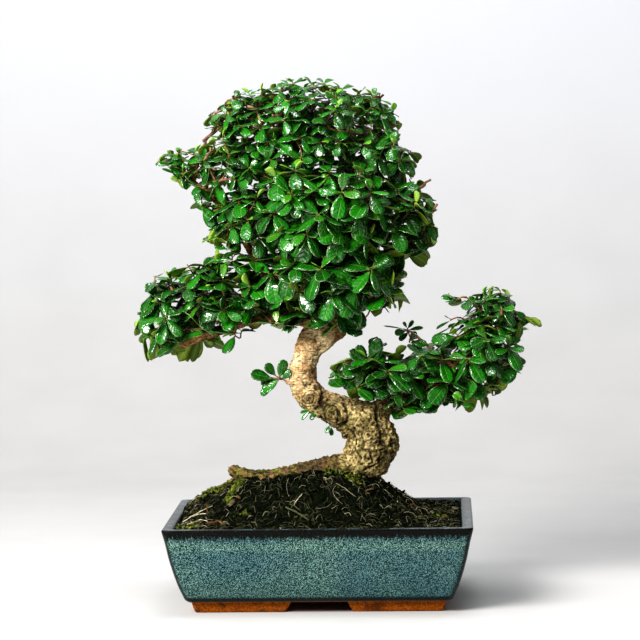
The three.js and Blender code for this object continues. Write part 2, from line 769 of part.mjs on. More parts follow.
// A leaf leans out from the shoot's axis on the side it grows from; its upper face is turned up
function drawLeaf(base, axis, radial, lean, leafLength, random) {
  const tilt = THREE.MathUtils.degToRad(lean + 24 * (random() - 0.5));
  const sway = radial.clone().applyAxisAngle(axis, 0.7 * (random() - 0.5));
  const along = axis.clone().multiplyScalar(Math.cos(tilt)).addScaledVector(sway, Math.sin(tilt)).normalize();
  const normal = axis.clone().multiplyScalar(Math.sin(tilt)).addScaledVector(sway, -Math.cos(tilt));
  normal.addScaledVector(UP, 0.5);
  normal.addScaledVector(along, -normal.dot(along)).normalize();
  const length = leafLength * (0.84 + 0.32 * random());
  return {
    base,
    along,
    normal,
    across: normal.clone().cross(along),
    length,
    width: length * LEAF_WIDTH * (0.9 + 0.25 * random()),
    curl: 0.04 + 0.16 * random(),
  };
}

const SAMPLE_T = [0.2, 0.36, 0.52, 0.68, 0.84, 1];
const SAMPLE_S = [-1, -0.5, 0, 0.5, 1];

function halfWidthAt(t) {
  if (t < LEAF_WIDEST) return t / LEAF_WIDEST;
  return 1 - ((1 - LEAF_BLUNT) * (t - LEAF_WIDEST)) / (1 - LEAF_WIDEST);
}

function leafSamples(leaf) {
  return SAMPLE_T.flatMap((t) => SAMPLE_S.map((s) => leafPoint(leaf, t, s * halfWidthAt(t), 0)));
}

// Whether a point lies in or close to a leaf
function inLeaf(leaf, p) {
  const from = p.clone().sub(leaf.base);
  const t = from.dot(leaf.along) / leaf.length;
  if (t < 0.12 || t > 1.08) return false;
  const s = Math.abs(from.dot(leaf.across));
  if (s > 0.5 * leaf.width * halfWidthAt(Math.min(t, 1)) + CLEARANCE) return false;
  const bend = leaf.curl * leaf.length * t * (t < LEAF_WIDEST ? LEAF_WIDEST : t);
  return Math.abs(from.dot(leaf.normal) + bend) < CLEARANCE;
}

// Whether every point keeps a margin from every ball
function clearOfBalls(points, balls, margin) {
  return !balls.some((ball) => points.some((p) => p.distanceTo(ball.at) < ball.radius + margin));
}

function clearOfLeaves(leaf, leaves) {
  return !leaves.some((other) => {
    if (leaf.base.distanceTo(other.base) > leaf.length + other.length + 3) return false;
    return leaf.samples.some((p) => inLeaf(other, p)) || other.samples.some((p) => inLeaf(leaf, p));
  });
}

// Leaves on the faces at the end of a shoot: four round it and a smaller one at its tip
function growLeaves(skin, faces, axis, spray, random, leaves, balls) {
  faces.forEach((face, i) => {
    const base = skin.middle(face);
    const atTip = i === 4;
    const out = base.clone().sub(skin.middle(faces[4]));
    out.addScaledVector(axis, -out.dot(axis));
    const radial = atTip ? vec(random() - 0.5, random() - 0.5, random() - 0.5).cross(axis) : out;
    radial.normalize();
    const lean = atTip ? TIP_LEAN : SIDE_LEAN;
    const length = spray.cloud.leaf * (atTip ? TIP_LEAF : 1);
    for (let attempt = 0; attempt < LEAF_TRIES; attempt++) {
      const leaf = drawLeaf(base, axis, radial, lean, length, random);
      leaf.samples = leafSamples(leaf);
      if (!clearOfLeaves(leaf, leaves) || !clearOfBalls(leaf.samples, balls, TWIG_CLEARANCE)) continue;
      leaves.push(leaf);
      skin.leaf(face, leaf);
      return;
    }
    skin.close(face);
  });
}

// Grows a spray: its stem, the twigs to its outermost shoots, and their leaves
function growSpray(spray, leaves, balls) {
  const { start, fork, away, number } = spray;
  const skin = new Skin();
  const foot = skin.startRing(start, away, STEM_RADIUS);
  skin.close([...foot].reverse());
  const free = skin.stem(foot, [[fork, TWIG_RADIUS + 0.4]], NODE_LENGTH);
  const end = skin.middle(free[4]);
  const node = fork.clone().lerp(end, 0.5);
  const ways = [];
  for (const tip of shootTips(spray).reverse()) {
    if (ways.length >= SHOOTS_HERE) break;
    const bend = end.clone().lerp(tip.at, 0.5).addScaledVector(away, TWIG_BOW);
    const fits = free.map((face) => {
      const root = skin.middle(face);
      return root.clone().sub(node).normalize().dot(bend.clone().sub(root).normalize());
    });
    const best = fits.indexOf(Math.max(...fits));
    const face = free[best];
    const root = skin.middle(face);
    const way = bend.clone().sub(root).normalize();
    if (bend.distanceTo(root) < SHORTEST_TWIG || tip.at.distanceTo(bend) < SHORTEST_TWIG) continue;
    if (fits[best] < LEAST_FIT || ways.some((other) => other.dot(way) > CLOSEST_WAYS)) continue;

    const thick = TWIG_RADIUS + 0.1;
    const path = [root, bend, tip.at].map((p) => [...p.toArray(), thick]);
    const twig = ballsAlong(path, 1.6).map((ball) => ({ ...ball, spray: number }));
    const others = balls.filter((ball) => ball.spray !== number || ball.at.distanceTo(end) > 2 * NODE_LENGTH);
    if (!clearOfBalls(twig.map((b) => b.at), others, TWIG_RADIUS + 0.7)) continue;
    if (leaves.some((leaf) => twig.some((b) => inLeaf(leaf, b.at)))) continue;

    free.splice(best, 1);
    ways.push(way);
    const shootFaces = skin.stem(face, [[bend, TWIG_RADIUS], [tip.at, TWIG_RADIUS - 0.1]], BUD_LENGTH);
    const axis = tip.at.clone().sub(bend).normalize();
    const behind = twig.filter((ball) => ball.at.distanceTo(tip.at) > 4);
    growLeaves(skin, shootFaces, axis, spray, seededRandom(tip.seed), leaves, [...balls, ...behind]);
    balls.push(...twig);
  }
  free.forEach((face) => skin.close(face));
  spray.skin = skin;
  spray.shoots = ways.length;
}

// Everything together

const skeleton = [];
for (const path of Object.values(BRANCHES)) {
  skeleton.push(...ballsAlong(path, 3).slice(3));
}
skeleton.push(...ballsAlong(LEADER.slice(1), 4));

const paths = [TRUNK, LEADER, ...LOBES, ...ROOTS, ...Object.values(BRANCHES)];
const woodBalls = paths.flatMap((path) => ballsAlong(path));
const sprays = growLimbs(placeSprays(), skeleton, woodBalls);
const leaves = [];
const balls = [...woodBalls];
for (const { number, limbBalls, stemBalls } of sprays) {
  balls.push(...limbBalls, ...stemBalls.map((ball) => ({ ...ball, spray: number })));
}
sprays.forEach((spray) => growSpray(spray, leaves, balls));
const grown = sprays.filter((spray) => spray.shoots > 0);

const wood = wasm.Manifold.union([
  makeTrunk(0),
  tube(LEADER, LOBE_SIDES, LEADER.length),
  ...Object.values(BRANCHES).map((path) => tube(path, BRANCH_SIDES, path.length - 1)),
  ...grown.map((spray) => tube(spray.limb, 4, 1)),
]);

const group = new THREE.Group();
group.add(meshOf("pot", makePot(), COLOURS.pot));
group.add(meshOf("drain_screen_left", makeScreen(-DRAIN_OFFSET), COLOURS.screen));
group.add(meshOf("drain_screen_right", makeScreen(DRAIN_OFFSET), COLOURS.screen));
group.add(meshOf("soil", makeSoil(makeTrunk(GAP + 0.2)), COLOURS.soil));
group.add(meshOf("wood", wood, COLOURS.wood));
for (const spray of grown) {
  const name = "spray_" + String(spray.number + 1).padStart(2, "0") + "_" + spray.cloud.name;
  group.add(meshOf(name, spray.skin.solid(), COLOURS.leaf));
}

// The origin is on the table under the middle of the whole, which reaches further right than left of the pot
const box = new THREE.Box3().setFromObject(group);
group.position.x = -(box.min.x + box.max.x) / 2;

export default group;
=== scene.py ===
# %% [markdown]
# A Fukien tea bonsai in a glazed pot, dressed in Blender.
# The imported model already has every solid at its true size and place: pot, drain screens, soil, wood and
# leafy sprays. This script keeps those places and swaps the plain solids for finer ones: bark with knots and
# pits, some thousands of curved leaves, loose soil with fibres and moss, and a speckled glaze.

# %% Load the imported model
import json
import math

import bmesh
import bpy
import numpy as np
from mathutils import Matrix, Vector, noise
from mathutils.bvhtree import BVHTree

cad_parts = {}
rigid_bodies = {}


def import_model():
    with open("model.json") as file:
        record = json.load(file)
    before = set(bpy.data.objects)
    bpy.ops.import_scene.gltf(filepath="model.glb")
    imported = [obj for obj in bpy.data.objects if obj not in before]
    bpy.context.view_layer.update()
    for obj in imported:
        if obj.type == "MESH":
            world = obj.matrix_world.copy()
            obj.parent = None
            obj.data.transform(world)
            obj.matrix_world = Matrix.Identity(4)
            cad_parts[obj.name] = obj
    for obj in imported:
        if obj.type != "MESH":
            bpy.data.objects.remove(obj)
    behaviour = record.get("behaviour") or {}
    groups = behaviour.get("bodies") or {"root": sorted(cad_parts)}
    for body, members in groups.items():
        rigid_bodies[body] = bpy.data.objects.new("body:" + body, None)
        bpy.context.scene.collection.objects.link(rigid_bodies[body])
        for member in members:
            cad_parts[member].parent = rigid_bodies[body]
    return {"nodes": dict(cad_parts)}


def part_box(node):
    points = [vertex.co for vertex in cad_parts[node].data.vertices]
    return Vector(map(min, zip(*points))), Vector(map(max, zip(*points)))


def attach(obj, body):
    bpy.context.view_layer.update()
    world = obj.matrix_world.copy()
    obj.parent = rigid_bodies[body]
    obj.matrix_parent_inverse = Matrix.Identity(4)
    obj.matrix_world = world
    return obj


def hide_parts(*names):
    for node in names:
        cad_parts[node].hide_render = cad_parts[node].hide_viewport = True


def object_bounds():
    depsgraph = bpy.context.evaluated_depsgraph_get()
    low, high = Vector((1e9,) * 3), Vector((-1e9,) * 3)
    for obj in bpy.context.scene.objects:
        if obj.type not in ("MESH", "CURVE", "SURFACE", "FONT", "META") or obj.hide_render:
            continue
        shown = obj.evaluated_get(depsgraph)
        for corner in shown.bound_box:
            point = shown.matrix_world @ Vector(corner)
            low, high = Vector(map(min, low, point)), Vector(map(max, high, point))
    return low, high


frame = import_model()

cad_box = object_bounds()
print("solids in the frame:", len(frame["nodes"]))

# %% [markdown]
# All sizes below are in millimetres, counted from the middle of the pot on the table.
# One function turns them into metres in the frame, so no other line needs to know about the shift.

# %% Units and small helpers
MM = 0.001
pot_low, pot_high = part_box("pot")
POT_MIDDLE = np.array([(pot_low.x + pot_high.x) / 2, 0.0, 0.0])


def to_frame(points):
    """Millimetres from the pot's middle to metres in the frame."""
    return np.asarray(points, float) * MM + POT_MIDDLE


def from_frame(points):
    """Metres in the frame to millimetres from the pot's middle."""
    return (np.asarray(points, float) - POT_MIDDLE) / MM


def unit(vectors):
    vectors = np.asarray(vectors, float)
    return vectors / np.maximum(np.linalg.norm(vectors, axis=-1, keepdims=True), 1e-9)


def smoothstep(low, high, x):
    t = np.clip((x - low) / (high - low), 0, 1)
    return t * t * (3 - 2 * t)


print("the pot's middle is at x =", round(POT_MIDDLE[0] / MM, 2), "mm")

# %% [markdown]
# Every mesh here is built from arrays of points and faces. Attributes are numbers stored on the points, such
# as how old a leaf is; a material reads them by name and turns them into colour.

# %% Make a piece from points and faces
def in_scene(name, data):
    """A new object that shows the mesh, lamp or camera given as data."""
    thing = bpy.data.objects.new(name, data)
    bpy.context.scene.collection.objects.link(thing)
    return thing


def finish_mesh(name, mesh, attributes):
    """Stores one number per point for each attribute, and shades the faces smoothly."""
    for key, values in attributes.items():
        layer = mesh.attributes.new(key, "FLOAT", "POINT")
        layer.data.foreach_set("value", np.asarray(values, np.float32))
    mesh.polygons.foreach_set("use_smooth", [True] * len(mesh.polygons))
    mesh.update()
    return in_scene(name, mesh)


def make_piece(name, points, faces, materials, face_material, attributes):
    """A mesh object from points in millimetres. Faces are rows of point numbers."""
    mesh = bpy.data.meshes.new(name)
    mesh.from_pydata(to_frame(points).tolist(), [], [list(face) for face in faces])
    for material in materials:
        mesh.materials.append(material)
    mesh.polygons.foreach_set("material_index", np.asarray(face_material, np.int32))
    return finish_mesh(name, mesh, attributes)


def settle(piece, slot, *nodes):
    """Hides the imported solids that the piece stands in for, and rides it on the one body."""
    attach(piece, "root")
    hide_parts(*nodes)
    triangles = sum(len(p.vertices) - 2 for p in piece.data.polygons)
    print(piece.name, "has", triangles, "triangles")


class Heap:
    """Collects small meshes, then makes one piece of them."""

    def __init__(self, *keys):
        self.points = []
        self.faces = []
        self.face_material = []
        self.values = {key: [] for key in keys}
        self.count = 0

    def add(self, points, faces, material=0, **values):
        points = np.asarray(points, float).reshape(-1, 3)
        self.faces.extend([[i + self.count for i in face] for face in faces])
        self.face_material.extend([material] * len(faces))
        self.points.append(points)
        for key, stored in self.values.items():
            stored.append(np.broadcast_to(values.get(key, 0.0), len(points)))
        self.count += len(points)

    def piece(self, name, materials):
        attributes = {key: np.concatenate(stored) for key, stored in self.values.items()}
        points = np.concatenate(self.points)
        return make_piece(name, points, self.faces, materials, self.face_material, attributes)


# %% [markdown]
# Two shapes come back all the time. A loft joins rings of points into a skin and closes both ends, which
# makes the pot and the soil. A tube is a loft whose rings follow a path, which makes twigs, roots and fibres.
# A path is given by few points, and a smooth curve is drawn through them.

# %% Lofts, curves and tubes
def loft_faces(rings, around):
    """Faces of a skin through rings, numbered ring after ring, with a face across each end."""
    faces = []
    for r in range(rings - 1):
        for i in range(around):
            j = (i + 1) % around
            faces.append([r * around + i, r * around + j, (r + 1) * around + j, (r + 1) * around + i])
    faces.append(list(reversed(range(around))))
    faces.append([(rings - 1) * around + i for i in range(around)])
    return faces


def smooth_curve(points, count):
    """A Catmull-Rom curve through rows of numbers, at evenly spread stations."""
    p = np.asarray(points, float)
    if len(p) == 2:
        return p[0] + (p[1] - p[0]) * np.linspace(0, 1, count)[:, None]
    p = np.vstack([2 * p[0] - p[1], p, 2 * p[-1] - p[-2]])
    s = np.linspace(0, len(p) - 3, count)
    i = np.minimum(s.astype(int), len(p) - 4)
    t = (s - i)[:, None]
    a, b, c, d = p[i], p[i + 1], p[i + 2], p[i + 3]
    return 0.5 * (2 * b + (c - a) * t + (2 * a - 5 * b + 4 * c - d) * t**2 + (3 * b - a - 3 * c + d) * t**3)


def tube_points(path, radii, sides):
    """Rings of points along a path, each ring square to it and turned as little as possible."""
    path = np.asarray(path, float)
    ahead = unit(np.gradient(path, axis=0))
    across = np.cross(ahead[0], [0.13, 0.31, 0.94])
    angles = np.arange(sides) * 2 * np.pi / sides
    rings = []
    for at, way, radius in zip(path, ahead, radii):
        across = unit(across - way * np.dot(across, way))
        side = np.cross(way, across)
        ring = np.cos(angles)[:, None] * across + np.sin(angles)[:, None] * side
        rings.append(at + ring * radius)
    return np.concatenate(rings)


def add_tube(heap, path, radii, sides, material=0, **values):
    heap.add(tube_points(path, radii, sides), loft_faces(len(path), sides), material, **values)


print("a curve through 3 points:", smooth_curve([[0, 0], [1, 1], [2, 0]], 5).round(2).tolist())

# %% [markdown]
# The camera stands where the photograph was taken from: the pot's edges and their vanishing points give its
# place, its tilt and a long lens.

# %% Camera
CAMERA_AT = (102.0, -2319.0, 404.0)
CAMERA_TURN = math.radians(2.49)
CAMERA_DOWN = math.radians(4.25)
CAMERA_ROLL = math.radians(-0.84)
FOCAL_PIXELS = 2823.0
PHOTO_PIXELS = 640.0

camera_data = bpy.data.cameras.new("camera")
camera_data.sensor_width = 36.0
camera_data.lens = FOCAL_PIXELS / PHOTO_PIXELS * camera_data.sensor_width
camera_data.clip_end = 50.0
camera = in_scene("camera", camera_data)
turn = Matrix.Rotation(CAMERA_TURN, 4, "Z")
tilt = Matrix.Rotation(math.pi / 2 - CAMERA_DOWN, 4, "X")
roll = Matrix.Rotation(CAMERA_ROLL, 4, "Z")
camera.matrix_world = Matrix.Translation(to_frame(CAMERA_AT)) @ turn @ tilt @ roll
bpy.context.scene.camera = camera
print("lens", round(camera_data.lens, 1), "mm")

# %% [markdown]
# Shaders are easier to read when a line adds one node. The helper takes the node's settings, and for each
# socket a number, a colour as text, or another node's output to link. Short names for sums and products, and
# one for a stain laid over a tone, keep the finishes below as short as a recipe.

# %% Shader helpers
def srgb(text):
    """A colour such as 3f7f88, as it looks on screen, turned into the linear values shaders use."""
    parts = [int(text[i:i + 2], 16) / 255 for i in (0, 2, 4)]
    linear = [p / 12.92 if p <= 0.04045 else ((p + 0.055) / 1.055) ** 2.4 for p in parts]
    return (*linear, 1.0)


def put(tree, socket, value):
    """Links another node's output to the socket, or sets a number, a vector or a colour's text on it."""
    if isinstance(value, bpy.types.NodeSocket):
        tree.links.new(value, socket)
    else:
        socket.default_value = srgb(value) if isinstance(value, str) else value


def add(tree, kind, sockets=None, **settings):
    node = tree.nodes.new("ShaderNode" + kind)
    for key, value in settings.items():
        setattr(node, key, value)
    for key, value in (sockets or {}).items():
        put(tree, node.inputs[key], value)
    return node


def mix(tree, share, first, second):
    """The first colour where share is 0, the second where it is 1."""
    return add(tree, "Mix", {0: share, 6: first, 7: second}, data_type="RGBA").outputs[2]


def math_node(tree, operation, first, second=0.0, clamp=False):
    return add(tree, "Math", {0: first, 1: second}, operation=operation, use_clamp=clamp).outputs[0]


def times(tree, first, second):
    return math_node(tree, "MULTIPLY", first, second)


def plus(tree, first, second):
    return math_node(tree, "ADD", first, second)


def minus(tree, first, second):
    return math_node(tree, "SUBTRACT", first, second)


def stained(tree, tone, *stains):
    """Lays colours over a tone, each given with its mask and the most that it covers."""
    for colour, mask, most in stains:
        tone = mix(tree, times(tree, mask, most), tone, colour)
    return tone


def ramp(tree, share, *stops):
    """A colour ramp from (place, colour) pairs; a number as colour gives grey."""
    node = add(tree, "ValToRGB", {"Fac": share})
    elements = node.color_ramp.elements
    while len(elements) < len(stops):
        elements.new(0.5)
    for element, (place, colour) in zip(elements, stops):
        element.position = place
        element.color = srgb(colour) if isinstance(colour, str) else (colour, colour, colour, 1.0)
    return node.outputs["Color"]


def step(tree, value, low, high):
    """0 up to low, 1 from high on, smooth between; with low above high it falls instead."""
    return add(tree, "MapRange", {"Value": value, "From Min": low, "From Max": high},
               interpolation_type="SMOOTHSTEP").outputs["Result"]


def noise_texture(tree, place, scale, detail, **sockets):
    sockets = {"Vector": place, "Scale": scale, "Detail": detail, **sockets}
    return add(tree, "TexNoise", sockets).outputs["Fac"]


def stretched(tree, place, factors):
    """The place with each axis multiplied, so that a noise read there is squeezed along it."""
    return add(tree, "VectorMath", {0: place, 1: factors}, operation="MULTIPLY").outputs[0]


def object_place(tree):
    return add(tree, "TexCoord").outputs["Object"]


def upright(tree, vector):
    return add(tree, "SeparateXYZ", {"Vector": vector}).outputs["Z"]


def attribute(tree, name):
    return add(tree, "Attribute", attribute_name=name).outputs["Fac"]


def new_material(name):
    material = bpy.data.materials.new(name)
    material.use_nodes = True
    tree = material.node_tree
    return material, tree, tree.nodes["Principled BSDF"]


def finish_shader(tree, shader, **sockets):
    """Sets or links the shader's own sockets, named with _ for each space."""
    for key, value in sockets.items():
        put(tree, shader.inputs[key.replace("_", " ")], value)


print("black soil as the shader has it:", [round(c, 4) for c in srgb("0d1208")])

# %% [markdown]
# Three effects are used by several materials, so each is a node group, built once. Mottle is a cloudy mask at
# a chosen scale. Flecks is a field of small soft spots. Moss is a mask of green growth, thickest on what
# faces up and near the soil. Groups only put out masks and heights; shaders stay in the materials.

# %% Shared node groups
def new_group(name, inputs, outputs):
    group = bpy.data.node_groups.new(name, "ShaderNodeTree")
    for key, value in inputs.items():
        socket = group.interface.new_socket(key, in_out="INPUT", socket_type="NodeSocketFloat")
        socket.default_value = value
    for key in outputs:
        group.interface.new_socket(key, in_out="OUTPUT", socket_type="NodeSocketFloat")
    return group, group.nodes.new("NodeGroupInput"), group.nodes.new("NodeGroupOutput")


def mottle_group():
    group, given, out = new_group("mottle", {"Scale": 100.0, "Low": 0.35, "High": 0.65}, ["Mask", "Height"])
    cloud = noise_texture(group, object_place(group), given.outputs["Scale"], 5.0)
    put(group, out.inputs["Mask"], step(group, cloud, given.outputs["Low"], given.outputs["High"]))
    put(group, out.inputs["Height"], cloud)
    return group


def flecks_group():
    group, given, out = new_group("flecks", {"Scale": 500.0, "Size": 0.3, "Softness": 0.15}, ["Mask"])
    cells = add(group, "TexVoronoi", {"Vector": object_place(group), "Scale": given.outputs["Scale"]})
    edge = plus(group, given.outputs["Size"], given.outputs["Softness"])
    put(group, out.inputs["Mask"], step(group, cells.outputs["Distance"], edge, given.outputs["Size"]))
    return group


def moss_group():
    group, given, out = new_group("moss", {"Top": 0.115, "Fade": 0.03, "Amount": 0.5}, ["Mask"])
    place = add(group, "NewGeometry").outputs
    below = minus(group, given.outputs["Top"], upright(group, place["Position"]))
    low = math_node(group, "DIVIDE", below, given.outputs["Fade"], clamp=True)
    facing = times(group, plus(group, upright(group, place["Normal"]), 0.6), 0.2)
    patches = noise_texture(group, object_place(group), 130.0, 4.0)
    grown = plus(group, plus(group, patches, facing), given.outputs["Amount"])
    put(group, out.inputs["Mask"], times(group, step(group, grown, 1.0, 1.18), low))
    return group


GROUPS = {"mottle": mottle_group(), "flecks": flecks_group(), "moss": moss_group()}


def use_group(tree, name, **values):
    """The outputs of a group placed in a material with its own values."""
    node = tree.nodes.new("ShaderNodeGroup")
    node.node_tree = GROUPS[name]
    for key, value in values.items():
        node.inputs[key].default_value = value
    return node.outputs


def mottle(tree, scale, low, high):
    return use_group(tree, "mottle", Scale=scale, Low=low, High=high)


def bump(tree, height, depth):
    """A normal from a height between 0 and 1, as deep as depth in millimetres."""
    return add(tree, "Bump", {"Height": height, "Distance": depth * MM, "Strength": 1.0}).outputs["Normal"]


print("node groups:", sorted(GROUPS))

# %% [markdown]
# The light is soft, as near a window: a large panel from the upper left and front gives the leaves their
# whitish sheen, a weaker one from the right fills, and the pale wall and floor give back the rest. The panels
# are wide, so shadows have soft edges. The backdrop is bent like studio paper, so no line shows where floor
# and wall meet, and it can't be seen from behind, so that the bonsai's back can be looked at too.

# %% Floor, backdrop and lights
FLOOR_REACH = 6.0
BEND, WALL_AT, WALL_TOP = 0.85, 1.6, 5.5


def paper_material():
    material, tree, shader = new_material("pale_studio_paper")
    place = add(tree, "NewGeometry").outputs
    floor_tone = mix(tree, mottle(tree, 9.0, 0.2, 0.8)["Mask"], "b8b7b6", "b2b1b0")
    tone = mix(tree, step(tree, upright(tree, place["Position"]), 0.0, 0.7), floor_tone, "cccdd2")
    finish_shader(tree, shader, Base_Color=tone, Roughness=0.8, Alpha=minus(tree, 1.0, place["Backfacing"]))
    return material


def stage_sheet(name, material, line):
    """A wide sheet along a line of y and z, with its face towards the object."""
    mesh = bpy.data.meshes.new(name)
    points = [(x, y, z) for y, z in line for x in (-FLOOR_REACH, FLOOR_REACH)]
    mesh.from_pydata(points, [], [(2 * i, 2 * i + 1, 2 * i + 3, 2 * i + 2) for i in range(len(line) - 1)])
    mesh.materials.append(material)
    finish_mesh(name, mesh, {})


paper = paper_material()
bend_start = WALL_AT - BEND
bent = [(bend_start + BEND * math.sin(a), BEND - BEND * math.cos(a)) for a in np.linspace(0, math.pi / 2, 33)]
stage_sheet("floor", paper, [(-FLOOR_REACH, 0.0), (bend_start, 0.0), (FLOOR_REACH, 0.0)])
stage_sheet("backdrop", paper, bent + [(WALL_AT, WALL_TOP)])


def panel(name, place, aim, size, watts, colour=(1, 1, 1)):
    """A soft lamp: a glowing rectangle of width and height size that faces its aim, in metres."""
    data = bpy.data.lights.new(name, "AREA")
    data.shape = "RECTANGLE"
    data.size, data.size_y = size
    data.energy = watts
    data.color = colour
    light = in_scene(name, data)
    light.location = place
    light.rotation_euler = (Vector(aim) - Vector(place)).to_track_quat("-Z", "Y").to_euler()


panel("window", (-1.0, -1.25, 1.15), (0, 0, 0.24), (0.9, 0.72), 78, (1.0, 0.99, 0.97))
panel("ceiling", (0.15, -0.1, 1.7), (0, 0, 0.2), (0.9, 0.7), 17, (0.97, 0.985, 1.0))
panel("fill", (1.5, -1.2, 0.7), (0, 0, 0.2), (1.0, 0.8), 2.0, (1.0, 0.98, 0.95))
panel("wall_wash", (0, 0.7, 2.4), (0, 1.6, 0.9), (2.6, 0.5), 12)
world = bpy.data.worlds.new("room")
bpy.context.scene.world = world
world.use_nodes = True
room_light = world.node_tree.nodes["Background"].inputs
room_light["Color"].default_value = (0.92, 0.95, 1.0, 1.0)
room_light["Strength"].default_value = 0.11
bpy.context.scene.view_settings.view_transform = "Standard"
bpy.context.scene.view_settings.look = "Medium High Contrast"

# %% [markdown]
# The pot is fired clay with a wall that curves in towards its base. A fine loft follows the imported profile:
# the same heights and insets, with rounded corners, a rounded lip and the hollow inside in one closed skin.
# The bare feet are separate solids, as only they show the orange clay.

# %% Pot shape
POT_LENGTH, POT_DEPTH, POT_HEIGHT = 250.0, 184.0, 71.0
WALL, POT_FLOOR = 9.0, 16.4
# heights, and how far the wall has drawn in there
POT_PROFILE = [(9.4, 19.5), (11, 17), (17, 14.2), (27, 10.4), (44, 5.6), (59, 2.5), (69.5, 0)]
BASE, BARE_BELOW = 9.4, 9.95
CORNER_ROUND, INNER_ROUND, WOBBLE = 6.0, 3.4, 0.35
DRAIN_RADIUS, DRAIN_OFFSET = 8.0, 55.0
CORNER_STEPS, SIDE_STEPS = 8, (56, 40)


def wall_inset(z):
    """How far the outside has drawn in at a height, on a smooth curve through the profile."""
    fine = smooth_curve(POT_PROFILE, 200)
    return np.interp(z, fine[:, 0], fine[:, 1])


def rounded_rectangle(half_x, half_y, radius, z):
    """A level ring of points that starts at the middle of the first corner's end."""
    corners = []
    for quarter, (sx, sy) in enumerate([(1, 1), (-1, 1), (-1, -1), (1, -1)]):
        angles = np.pi / 2 * (quarter + np.linspace(0, 1, CORNER_STEPS + 1))
        corners.append(np.column_stack([sx * (half_x - radius) + radius * np.cos(angles),
                                        sy * (half_y - radius) + radius * np.sin(angles)]))
    ring = []
    for quarter, here in enumerate(corners):
        there = corners[(quarter + 1) % 4]
        shares = np.linspace(0, 1, SIDE_STEPS[quarter % 2] + 1)[1:-1, None]
        ring += [here, here[-1] + (there[0] - here[-1]) * shares]
    flat = np.concatenate(ring)
    return np.column_stack([flat, np.full(len(flat), float(z))])


def pot_ring(z, inset, radius):
    """Handmade clay isn't quite straight: slow waves bend the sides by a fraction of a millimetre."""
    ring = rounded_rectangle(POT_LENGTH / 2 - inset, POT_DEPTH / 2 - inset, radius, z)
    waves = [noise.noise(Vector((x * 0.02, y * 0.02, z * 0.03))) for x, y, _ in ring]
    return ring - unit(ring * [1, 1, 0]) * (WOBBLE * (0.5 + 0.5 * np.array(waves)))[:, None]


def pot_body_rings():
    """Rings from under the base up the outside, over the lip and down the inside, each z, inset, radius."""
    outside = np.concatenate([np.linspace(9.9, 17, 7), np.linspace(19, 69.0, 21)])
    rings = [(BASE, 19.5 + 2.0, 4.0), (BASE, 19.5, 5.0)]
    rings += [(z, wall_inset(z), CORNER_ROUND) for z in outside]
    rings += [(69.9, 0.05, 6.0), (70.5, 0.35, 6.0), (70.85, 0.85, 5.6), (71.0, 1.6, 5.2), (71.0, 4.6, 4.6),
              (70.9, 6.9, 4.0), (70.6, 7.9, 3.6), (70.0, 8.6, 3.4), (69.2, 9.0, 3.4)]
    rings += [(z, wall_inset(z) + WALL, INNER_ROUND) for z in np.linspace(67.5, POT_FLOOR + 2, 9)]
    foot_of_wall = wall_inset(POT_FLOOR) + WALL
    rings += [(POT_FLOOR + 0.6, foot_of_wall + 0.8, INNER_ROUND), (POT_FLOOR, foot_of_wall + 2, 3)]
    return [pot_ring(z, inset, radius) for z, inset, radius in rings]


body_rings = pot_body_rings()
OUTER_RINGS = 34
print("rings up the outside, over the lip and down the inside:", len(body_rings))

# %% [markdown]
# The glaze ran and broke in the kiln: tiny worm-shaped specks of dark teal and pale turquoise, a brown-black
# band under the lip where it ran thin, and a greener strip below it. Near-black lines down the corners and
# along the foot of the wall are painted shade, where the wall turns away from the light. Height and the
# distance to the nearest corner tell the shader where it is. The feet and the underside stay bare clay.

# %% Glaze and bare clay
# Zones by height in metres, each from where it is missing to where it is full
LOW_SHADE = (0.034, 0.012)
GREEN_MIDDLE, GREEN_FADE = 0.0565, (0.006, 0.001)
BAND, BAND_END, RAGGED = (0.0612, 0.0658), (0.07105, 0.07095), 0.011
# painted shade along the foot of the wall; the corner and foot shade lines stop just under the lip
FOOT_SHADE_LINE, SHADE_LINES_END = (0.0155, 0.0125), (0.0708, 0.0698)
LIP, INNER_WALL = (0.07088, 0.07097), (0.0707, 0.0703)
# The painted shade line down each corner, by millimetres from it
CORNER_SHADE_LINE = (4.6, 1.2)


